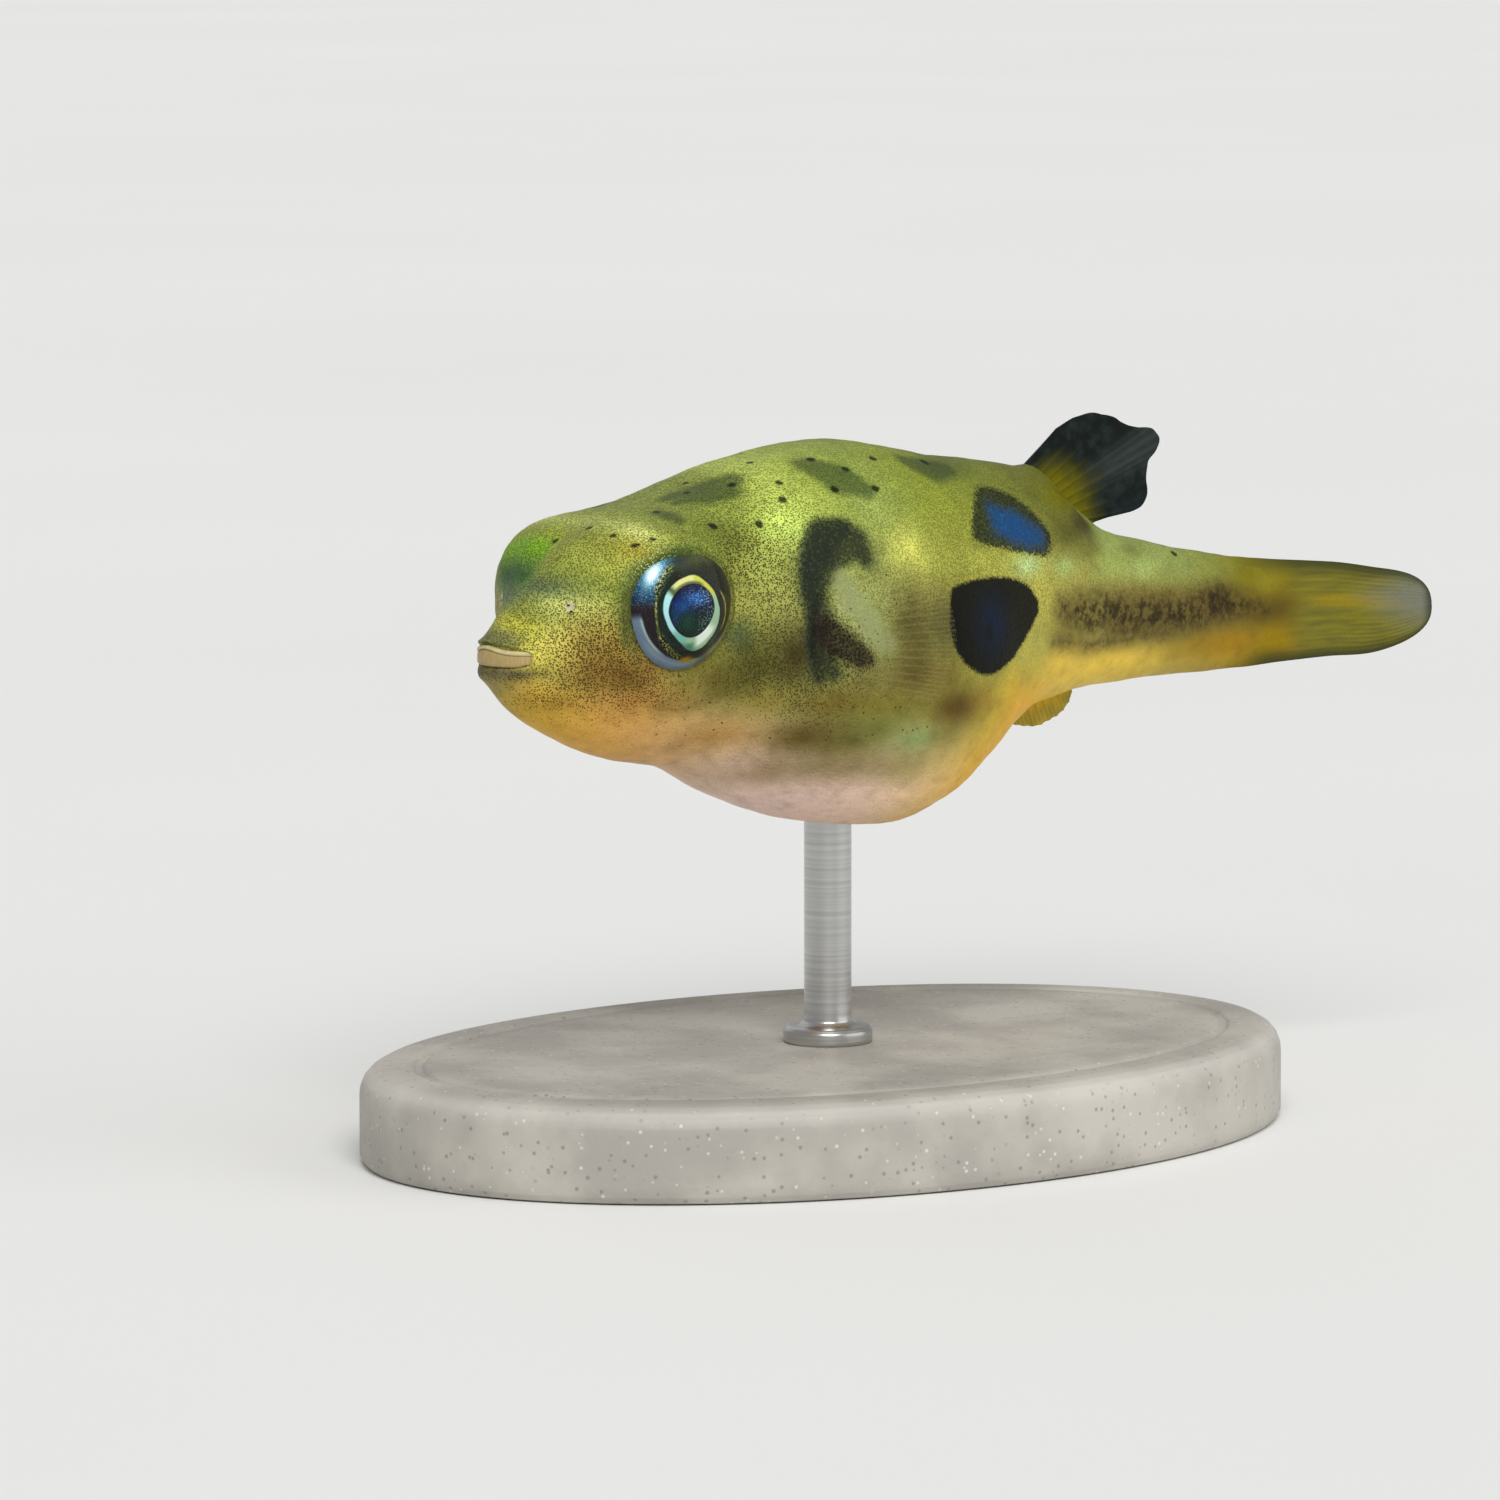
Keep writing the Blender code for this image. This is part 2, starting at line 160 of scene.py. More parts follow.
def layered(base: Rgb, layers: list[tuple[Rgb, Array]]) -> Array:
    """Lay colours over a base at every point: below * (1 - share) + tone * share, layer by layer.

    Args:
        base: The colour under everything.
        layers: Colours with how much of each shows at each point, from the lowest up.

    Returns:
        Linear colours, the points' shape by 3.
    """
    shown = np.zeros(layers[0][1].shape + (3,)) + base
    for tone, share in layers:
        cover = np.clip(share, 0, 1)[..., None]
        shown = shown * (1 - cover) + cover * tone
    return linear(shown)


@dataclass(frozen=True)
class Placement:
    """Where the fish's own millimetres lie in the model's frame."""

    shift: Spot

    @classmethod
    def from_eyes(cls, eye_x: float, eye_z: float) -> "Placement":
        """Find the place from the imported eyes.

        Args:
            eye_x: How far the eyes lie behind the lips.
            eye_z: How far they lie above the mouth.

        Returns:
            The place of the fish.
        """
        corners = np.array([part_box("eye_left"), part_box("eye_right")], float)
        middle = corners.mean(axis=(0, 1)) / MM
        return cls((float(middle[0]) - eye_x, float(middle[1]), float(middle[2]) - eye_z))

    def metres(self, points: Array) -> Array:
        """Points in the model's frame, in metres."""
        return (np.asarray(points, float) + self.shift) * MM


# ---- meshes ----

@dataclass
class Loft:
    """A closed surface over rows of points: every row is a closed loop, and a fan shuts each end.

    Attributes:
        name: The piece's name.
        rings: Points, rows by count by 3, in millimetres.
        fields: Numbers at the points, rows by count, or linear colours, rows by count by 3, by name.
    """

    name: str
    rings: Array
    fields: dict[str, Array] = field(default_factory=dict)

    def build(self, place: Placement, material: Material) -> Piece:
        """Make the mesh object: four-sided faces between rows, three-sided ones at the two ends.

        Args:
            place: Where the fish lies.
            material: The piece's finish.

        Returns:
            The new object, its place in its mesh.
        """
        rows, count = self.rings.shape[:2]
        points = np.concatenate([self.rings.reshape(-1, 3), self.rings[[0, -1]].mean(axis=1)])
        here = np.arange(count)
        after = (here + 1) % count
        base = np.arange(rows - 1)[:, None] * count
        quads = joined(base + here, base + after, base + count + after, base + count + here)
        first, last = rows * count, rows * count + 1
        end = (rows - 1) * count
        fan_a = joined(first, after, here)
        fan_b = joined(last, end + here, end + after)
        corners = np.concatenate([quads.reshape(-1), fan_a.reshape(-1), fan_b.reshape(-1)])
        sizes = np.concatenate([np.full(quads.size // 4, 4), np.full(2 * count, 3)])
        spread = self._spread_map()
        if self._inside_out(points, quads.reshape(-1, 4)):
            order = self._reversed_order(sizes)
            corners, spread = corners[order], spread[order]

        mesh = bpy.data.meshes.new(self.name)
        mesh.vertices.add(len(points))
        mesh.vertices.foreach_set("co", place.metres(points).ravel())
        mesh.loops.add(len(corners))
        mesh.loops.foreach_set("vertex_index", corners.astype(np.int32))
        mesh.polygons.add(len(sizes))
        mesh.polygons.foreach_set("loop_start", np.concatenate([[0], np.cumsum(sizes)[:-1]]).astype(np.int32))
        mesh.update(calc_edges=True)
        mesh.uv_layers.new(name="OFBake").data.foreach_set("uv", spread.astype(np.float32).ravel())
        for name, values in self.fields.items():
            full = np.concatenate([values.reshape(-1, *values.shape[2:]), values[[0, -1]].mean(axis=1)])
            if values.ndim == 3:
                full = np.column_stack([full, np.ones(len(full))])
            kind, slot = ("FLOAT_COLOR", "color") if values.ndim == 3 else ("FLOAT", "value")
            layer = mesh.attributes.new(name, kind, "POINT")
            layer.data.foreach_set(slot, full.astype(np.float32).ravel())
        mesh.shade_smooth()
        mesh.materials.append(material)
        made = bpy.data.objects.new(self.name, mesh)
        bpy.context.collection.objects.link(made)
        return made

    @staticmethod
    def _inside_out(points: Array, quads: Array) -> bool:
        """True if the volume under the faces, the sum of a . (b x c) / 6, comes out negative."""
        a, b, c, d = (points[quads[:, i]] for i in range(4))
        return float((a * np.cross(b, c)).sum() + (a * np.cross(c, d)).sum()) < 0

    @staticmethod
    def _reversed_order(sizes: Array) -> Array:
        """The order of corners that turns every face round."""
        start = np.repeat(np.cumsum(sizes) - sizes, sizes)
        stop = np.repeat(np.cumsum(sizes) - 1, sizes)
        return start + stop - np.arange(int(sizes.sum()))

    def _spread_map(self) -> Array:
        """An even map for baking: across is the share round the loop, up is the share of the length.

        Returns:
            Two numbers for every corner of a face.
        """
        steps = np.linalg.norm(np.diff(self.rings, axis=0), axis=2).mean(axis=1) + 1e-6
        length = np.concatenate([[0], np.cumsum(steps)])
        up = 0.02 + 0.96 * length / length[-1]
        across = 0.01 + 0.98 * np.linspace(0, 1, self.rings.shape[1] + 1)
        chart = joined(across[None, :], up[:, None])
        quads = np.stack([chart[:-1, :-1], chart[:-1, 1:], chart[1:, 1:], chart[1:, :-1]], 2)
        ends = []
        for row, level, pair in ((0, 0.004, (slice(1, None), slice(None, -1))),
                                 (-1, 0.996, (slice(None, -1), slice(1, None)))):
            near, far = (chart[row, part] for part in pair)
            middle = joined((near[:, 0] + far[:, 0]) / 2, level)
            ends.append(np.stack([middle, near, far], 1).reshape(-1, 2))
        return np.concatenate([quads.reshape(-1, 2), *ends])


def grid_normals(points: Array) -> Array:
    """Unit normals of a grid that wraps round in its second axis: along x around, turned outwards.

    Args:
        points: Rows by count by 3.

    Returns:
        The normals, rows by count by 3.
    """
    along = np.gradient(points, axis=0)
    around = np.roll(points, -1, axis=1) - np.roll(points, 1, axis=1)
    normal = np.cross(along, around)
    normal /= np.linalg.norm(normal, axis=-1, keepdims=True) + 1e-12
    middle = points.mean(axis=1, keepdims=True)
    outwards = np.sign((normal * (points - middle)).sum(-1).sum(-1))
    return normal * np.where(outwards == 0, 1, outwards)[:, None, None]


def even_rings(rings: Array, count: int, weight: Array | None = None) -> Array:
    """Space the points of every ring evenly by length, or by length times a weight.

    Args:
        rings: Fine rings, rows by many by 3; the first point of a ring stays the first.
        count: How many points each ring gets.
        weight: How much closer together points lie, rows by many.

    Returns:
        Rows by count by 3.
    """
    rows = len(rings)
    closed = np.concatenate([rings, rings[:, :1]], axis=1)
    length = np.linalg.norm(np.diff(closed, axis=1), axis=2) + 1e-9
    if weight is not None:
        length = length * weight
    run = np.concatenate([np.zeros((rows, 1)), np.cumsum(length, axis=1)], axis=1)
    share = run / run[:, -1:] + 2 * np.arange(rows)[:, None]
    wanted = np.arange(count)[None, :] / count + 2 * np.arange(rows)[:, None]
    flat = [np.interp(wanted.ravel(), share.ravel(), closed[..., axis].ravel()) for axis in range(3)]
    return np.stack(flat, -1).reshape(rows, count, 3)


# ---- shader building ----

class Signal:
    """A number that varies over a surface; sums and products of signals add Math nodes."""

    def __init__(self, paint: "Paint", socket: Socket) -> None:
        """Wrap one output socket."""
        self.paint = paint
        self.socket = socket

    def _math(self, operation: str, *terms: "Signal | float") -> "Signal":
        """Add one Math node over the terms."""
        node = self.paint.node("ShaderNodeMath", {"operation": operation}, dict(enumerate(terms)))
        return Signal(self.paint, node.outputs[0])

    def __add__(self, other: "Signal | float") -> "Signal":
        """self + other."""
        return self._math("ADD", self, other)

    __radd__ = __add__

    def __sub__(self, other: "Signal | float") -> "Signal":
        """self - other."""
        return self._math("SUBTRACT", self, other)

    def __rsub__(self, other: "Signal | float") -> "Signal":
        """other - self."""
        return self._math("SUBTRACT", other, self)

    def __mul__(self, other: "Signal | float") -> "Signal":
        """self * other."""
        return self._math("MULTIPLY", self, other)

    __rmul__ = __mul__

    def __abs__(self) -> "Signal":
        """The size of self without its sign."""
        return self._math("ABSOLUTE", self)

    def high(self, other: "Signal | float") -> "Signal":
        """The larger of two."""
        return self._math("MAXIMUM", self, other)

    def rise(self, start: "Signal | float", stop: "Signal | float") -> "Signal":
        """0 before start, 1 after stop and a smooth step between; it falls where start is above stop."""
        node = self.paint.node("ShaderNodeMapRange", {"interpolation_type": "SMOOTHSTEP"},
                               {"Value": self, "From Min": start, "From Max": stop})
        return Signal(self.paint, node.outputs[0])


class Paint:
    """A material under construction: its nodes come from one method, its maths from Signals."""

    def __init__(self, name: str) -> None:
        """Start an empty material."""
        self.material = bpy.data.materials.new(name)
        self.material.use_nodes = True
        self.tree = self.material.node_tree
        self.tree.nodes.clear()

    def node(self, kind: str, settings: dict | None = None, inputs: dict | None = None) -> bpy.types.Node:
        """Add one node.

        Args:
            kind: The node's type.
            settings: Properties set before the sockets.
            inputs: Values or links of its sockets, by name or number.

        Returns:
            The new node.
        """
        made = self.tree.nodes.new(kind)
        for key, value in (settings or {}).items():
            setattr(made, key, value)
        for key, value in (inputs or {}).items():
            if isinstance(value, Signal):
                value = value.socket
            if isinstance(value, Socket):
                self.tree.links.new(value, made.inputs[key])
            else:
                made.inputs[key].default_value = value
        return made

    def spot(self) -> Socket:
        """The surface's own place, in millimetres of the model's frame."""
        where = self.node("ShaderNodeTexCoord").outputs["Object"]
        return self.scaled(where, 1 / MM)

    def field(self, name: str) -> Signal:
        """A number stored at the points of the mesh."""
        return Signal(self, self.node("ShaderNodeAttribute", {"attribute_name": name}).outputs["Fac"])

    def colour_field(self, name: str) -> Socket:
        """A colour stored at the points of the mesh."""
        return self.node("ShaderNodeAttribute", {"attribute_name": name}).outputs["Color"]

    def noise(self, where: Socket, grain: float, detail: float = 2.0, rough: float = 0.5) -> Signal:
        """Soft noise from 0 to 1 whose lumps are about grain millimetres across."""
        node = self.node("ShaderNodeTexNoise", {}, {"Vector": where, "Scale": 1 / grain, "Detail": detail,
                                                    "Roughness": rough})
        return Signal(self, node.outputs["Fac"])

    def cells(self, where: Socket, size: float, random: float = 0.85) -> tuple[Signal, Socket]:
        """Scattered cells: the distance to the nearest middle, 0 to about 1, and the cell's own colour."""
        node = self.node("ShaderNodeTexVoronoi", {"voronoi_dimensions": "3D"},
                         {"Vector": where, "Scale": 1 / size, "Randomness": random})
        return Signal(self, node.outputs["Distance"]), node.outputs["Color"]

    def channel(self, colour: Socket, index: int = 0) -> Signal:
        """One channel of a colour, as a number."""
        return Signal(self, self.node("ShaderNodeSeparateColor", {}, {0: colour}).outputs[index])

    def coats(self, base: Coat, *coats: tuple[Coat, Signal | float]) -> Socket:
        """Lay colours over a base, one Mix node for each.

        Args:
            base: The lowest colour, as three numbers of 0 to 255 or as a socket.
            coats: Colours with how much of each shows, from the lowest up.

        Returns:
            The top colour's socket.
        """
        for tone, share in coats:
            pair = [light(colour) if isinstance(colour, tuple) else colour for colour in (base, tone)]
            node = self.node("ShaderNodeMix", {"data_type": "RGBA", "clamp_factor": True},
                             {0: share, 6: pair[0], 7: pair[1]})
            base = node.outputs[2]
        return base

    def stretched(self, where: Socket, scale: Spot) -> Socket:
        """Places scaled along each axis, so that a pattern read there is drawn out."""
        return self.node("ShaderNodeMapping", {}, {"Vector": where, "Scale": scale}).outputs[0]

    def scaled(self, colour: Socket, factor: Signal | float) -> Socket:
        """A colour or a place multiplied by a factor."""
        return self.node("ShaderNodeVectorMath", {"operation": "SCALE"},
                         {0: colour, "Scale": factor}).outputs[0]

    def relief(self, height: Signal, depth: float) -> Socket:
        """A normal roughened by a height of 0 to 1 that stands for depth millimetres."""
        return self.node("ShaderNodeBump", {}, {"Height": height, "Distance": depth * MM,
                                                "Strength": 1}).outputs["Normal"]

    def finish(self, inputs: dict) -> Material:
        """Close the material with one Principled shader and return it."""
        shader = self.node("ShaderNodeBsdfPrincipled", {}, inputs)
        self.node("ShaderNodeOutputMaterial", {}, {"Surface": shader.outputs[0]})
        return self.material


# ---- the fish's form ----

@dataclass(frozen=True)
class Swelling:
    """A rounded mass under the skin on each side: eye orbit or shoulder lobe."""

    centre: Spot
    radii: Spot
    power: float
    blend: float

    def push(self, points: Array) -> Array:
        """Push points out round the mass on both sides.

        With d = (sum |offset / radius|^power)^(1 / power), a point moves along its offset from d to
        0.5 (d + 1 + sqrt((d - 1)^2 + blend^2)), which is a soft larger of d and 1.

        Args:
            points: Any array of points.

        Returns:
            The moved points.
        """
        for side in Side:
            centre = side.of(self.centre)
            offset = points - centre
            depth = (np.abs(offset / self.radii) ** self.power).sum(-1) ** (1 / self.power)
            reach = 0.5 * (depth + 1 + np.sqrt((depth - 1) ** 2 + self.blend**2))
            points = centre + offset * (reach / np.maximum(depth, 1e-6))[..., None]
        return points


@dataclass(frozen=True)
class EyeSeat:
    """The place of an eye and of the opening that the skin leaves for it.

    Attributes:
        centre: The eyeball's centre, out to one side.
        ball: The eyeball's radii to the outside of the clear front.
        opening: Half-angles of the opening, in degrees, towards the snout, the top, the tail and the chin.
    """

    centre: Spot = (4.05, 2.16, 1.17)
    ball: Spot = (1.765, 1.215, 1.765)
    opening: tuple[float, float, float, float] = (70.0, 51.0, 58.0, 78.0)

    def polar(self, points: Array, side: Side) -> tuple[Array, Array, Array]:
        """Measure points from the eye.

        Args:
            points: Any array of points.
            side: Which eye.

        Returns:
            How far out each lies (1 on the eyeball), its angle from the eye's axis and the half-angle of
            the opening in its direction, both in degrees.
        """
        offset = (points - side.of(self.centre)) / self.ball
        reach = np.linalg.norm(offset, axis=-1) + 1e-9
        tilt = np.degrees(np.arccos(np.clip(offset[..., 1] * side.value / reach, -1, 1)))
        flat = np.hypot(offset[..., 0], offset[..., 2]) + 1e-9
        ahead, up = -offset[..., 0] / flat, offset[..., 2] / flat
        front, top, rear, low = self.opening
        share = [np.maximum(part, 0) ** 2 for part in (ahead, up, -ahead, -up)]
        edge = share[0] * front + share[1] * top + share[2] * rear + share[3] * low
        return reach, tilt, edge


@dataclass(frozen=True)
class Body:
    """The outline and fullness of the fish along its length, from the lips at 0 to the tail fin."""

    back: Line = Line((
        (0, .24), (.3, .385), (.6, .645), (1, 1.06), (2.2, 2.18), (3.2, 2.68), (4.4, 3.03), (5.6, 3.54),
        (7.5, 4.22), (10.4, 4.66), (13.5, 4.16), (16.9, 3.6), (18.9, 2.1), (21, 1.5), (24, .93),
        (25.4, .76)))
    belly: Line = Line((
        (0, -.56), (.3, -.8), (.9, -1.42), (2.1, -2.15), (3.6, -2.8), (5.2, -3.13), (7.3, -4.15),
        (9.5, -4.84), (11.8, -5.09), (13.2, -4.72), (14.4, -3.98), (15.6, -3.08), (16.9, -2.43),
        (18.9, -2.12), (21.4, -2.02), (24, -2.01), (25.4, -1.92)))
    half_width: Line = Line((
        (0, 1.1), (.3, 1.24), (1, 1.6), (2.2, 2.2), (3.2, 2.48), (4.4, 2.66), (6, 3), (8, 3.52),
        (10.5, 3.82), (13, 3.48), (15.6, 2.6), (17.6, 2), (19.6, 1.52), (22, .98), (23.4, .62), (24.2, .4),
        (24.9, .25), (25.4, .12)))
    waist: Line = Line((
        (0, -.05), (2, 0), (4.2, .3), (7, -.1), (11, -.5), (14, -.2), (17, .1), (20, -.2), (24, -.54),
        (25.4, -.58)))
    back_fullness: Line = Line((
        (0, 2), (1, 2.1), (2, 2.3), (3.4, 2.6), (5, 2.8), (7, 2.5), (11, 2.15), (25.4, 2)))
    belly_fullness: Line = Line(((0, 2), (3, 2), (8, 2.2), (13, 2.2), (17, 2), (25.4, 2)))
    face_curve: Line = Line(((0, .58), (1, .44), (2.2, .2), (4, 0), (25.4, 0)))
    orbit: Swelling = Swelling((4.05, 1, 1.05), (2.14, 2, 1.86), 2.8, .32)
    shoulder: Swelling = Swelling((8.8, 3.05, -.1), (1.05, .85, 1.7), 2, .12)
    lid: Swelling = Swelling((4.05, 2.16, 1.17), (1.79, 1.235, 1.79), 2, .05)
    face: float = 2.78
    face_softness: float = .25
    face_span: tuple[float, float] = (1.0, 1.14)
    valley: Line = Line(((.5, 0), (1.1, .14), (1.7, .28), (2.2, .27), (2.8, .12), (3.4, 0)))
    valley_half: float = .62

    def ring(self, x: Array, turn: Array) -> Array:
        """Sections of the body.

        A section is y = half width * |cos|^(2 / fullness), z = waist + height * |sin|^(2 / fullness),
        bent back by face curve * y^2 and pushed out round orbits and shoulders.

        Args:
            x: Places along the body, rows by 1.
            turn: Angles round it, 1 by many, a quarter turn at the back, 0 at the left flank.

        Returns:
            Points, rows by many by 3.
        """
        across, up = np.cos(turn), np.sin(turn)
        fullness = np.where(up > 0, self.back_fullness.at(x), self.belly_fullness.at(x))
        waist = self.waist.at(x)
        height = np.where(up > 0, self.back.at(x) - waist, waist - self.belly.at(x))
        y = -self.half_width.at(x) * round_power(across, fullness)
        z = waist + height * round_power(up, fullness)
        points = joined(x + self.face_curve.at(x) * y * y, y, z)
        return self.pushed(points)

    def pushed(self, points: Array) -> Array:
        """Push points out round the orbits and shoulders and let the bridge between the eyes sink.

        Args:
            points: Points of the bare sections.

        Returns:
            Points of the body.
        """
        points = self.shoulder.push(self.orbit.push(points))
        points = self.lid.push(self._held(points))
        dip = self.valley.at(points[..., 0]) * bell(points[..., 1], self.valley_half)
        dip = dip * ease(points[..., 2], .5, 1.4)
        return points - joined(0, 0, dip)

    def _held(self, points: Array) -> Array:
        """Keep the flesh round the eye within reach of its plane, with a soft smaller of two.

        Args:
            points: Points of the body.

        Returns:
            The points, flatter beside the eye.
        """
        out = np.abs(points[..., 1])
        behind = points[..., 0] > self.orbit.centre[0] + self.orbit.radii[0]
        face = np.maximum(self.face, out * behind)
        held = 0.5 * (out + face - np.sqrt((out - face) ** 2 + self.face_softness**2))
        start, span = self.face_span
        near_eye = np.clip(1 - (points[..., 0] - self.orbit.centre[0] - start) / span, 0, 1)
        flat = near_eye * np.minimum(out, held) + (1 - near_eye) * out
        return joined(points[..., 0], np.sign(points[..., 1]) * flat, points[..., 2])


# ---- marks on the skin ----

@dataclass(frozen=True)
class Stroke:
    """A brush stroke on the skin: the places it passes, each with half the stroke's width there."""

    path: tuple[tuple[float, float, float, float], ...]
    both: bool = True

    def distance(self, points: Array) -> Array:
        """The distance in millimetres from the stroke's edge, negative inside it.

        Each pair of places is a tapering rod: the distance from its nearest point, less the half width
        there. The first path point's sign of y says the side; both repeats it on the other side.

        Args:
            points: Points of the skin, any shape by 3.

        Returns:
            The signed distances.
        """
        rows = np.array(self.path)
        half = rows[:, 3]
        best = np.full(points.shape[:-1], FAR)
        for flip in ((1, -1) if self.both else (1,)):
            path = self._settled(rows[:, :3] * (1, flip, 1), points)
            for i in range(max(len(path) - 1, 1)):
                j = min(i + 1, len(path) - 1)
                a, b = path[i], path[j]
                along = b - a
                length = float(along @ along) + 1e-12
                t = np.clip(((points - a) @ along) / length, 0, 1)
                gap = np.linalg.norm(points - (a + t[..., None] * along), axis=-1)
                best = np.minimum(best, gap - (half[i] * (1 - t) + half[j] * t))
        return best

    @staticmethod
    def _settled(path: Array, points: Array) -> Array:
        """Move every place of a path to the skin's nearest point."""
        flat = points.reshape(-1, 3)
        return np.stack([flat[np.argmin(((flat - place) ** 2).sum(-1))] for place in path])


def dots_at(both: bool, *rows: tuple[float, float, float, float]) -> tuple[Stroke, ...]:
    """Round dots from rows of x, y, z and half width, on one side or on both."""
    return tuple(Stroke((row,), both) for row in rows)


@dataclass(frozen=True)
class Facet:
    """A spot with straight rounded sides on the flank: corners (x, z) in order, on both sides."""

    corners: tuple[tuple[float, float], ...]
    softness: float = .12

    def distance(self, points: Array) -> Array:
        """The signed distance from the spot's outline: the soft largest distance from its sides.

        Args:
            points: Points of the skin, any shape by 3.

        Returns:
            The signed distances, negative inside.
        """
        corner = np.array(self.corners)
        edge = np.roll(corner, -1, axis=0) - corner
        edge /= np.linalg.norm(edge, axis=1, keepdims=True)
        out = joined(edge[:, 1], -edge[:, 0])
        out *= np.sign(((corner - corner.mean(axis=0)) * out).sum(-1))[:, None]
        flat = points[..., (0, 2)]
        gaps = (flat @ out.T) - (corner * out).sum(-1)
        return self.softness * np.log(np.exp(np.clip(gaps / self.softness, -60, 60)).sum(-1))


@dataclass(frozen=True)
class Wash:
    """A soft patch on the skin: its middle (x, z), how far it reaches, its strength and its colour."""

    middle: tuple[float, float]
    reach: tuple[float, float]
    strength: float = 1.0
    colour: Rgb | None = None
    side: Side | None = None

    def cover(self, points: Array) -> Array:
        """How much of the patch shows: strength * exp(-(distance / reach)^2).

        Args:
            points: Points of the skin.

        Returns:
            The share at each point.
        """
        across = (points[..., 0] - self.middle[0]) / self.reach[0]
        up = (points[..., 2] - self.middle[1]) / self.reach[1]
        share = self.strength * np.exp(-(across**2 + up**2))
        if self.side is not None:
            share = share * ease(points[..., 1] * self.side.value, -.3, .3)
        return share


def washes(*rows: tuple) -> tuple[Wash, ...]:
    """Patches from rows of middle x and z, reach in x and z, strength, and maybe a colour and a side."""
    return tuple(Wash(row[:2], row[2:4], row[4], row[5:8] or None, *row[8:]) for row in rows)


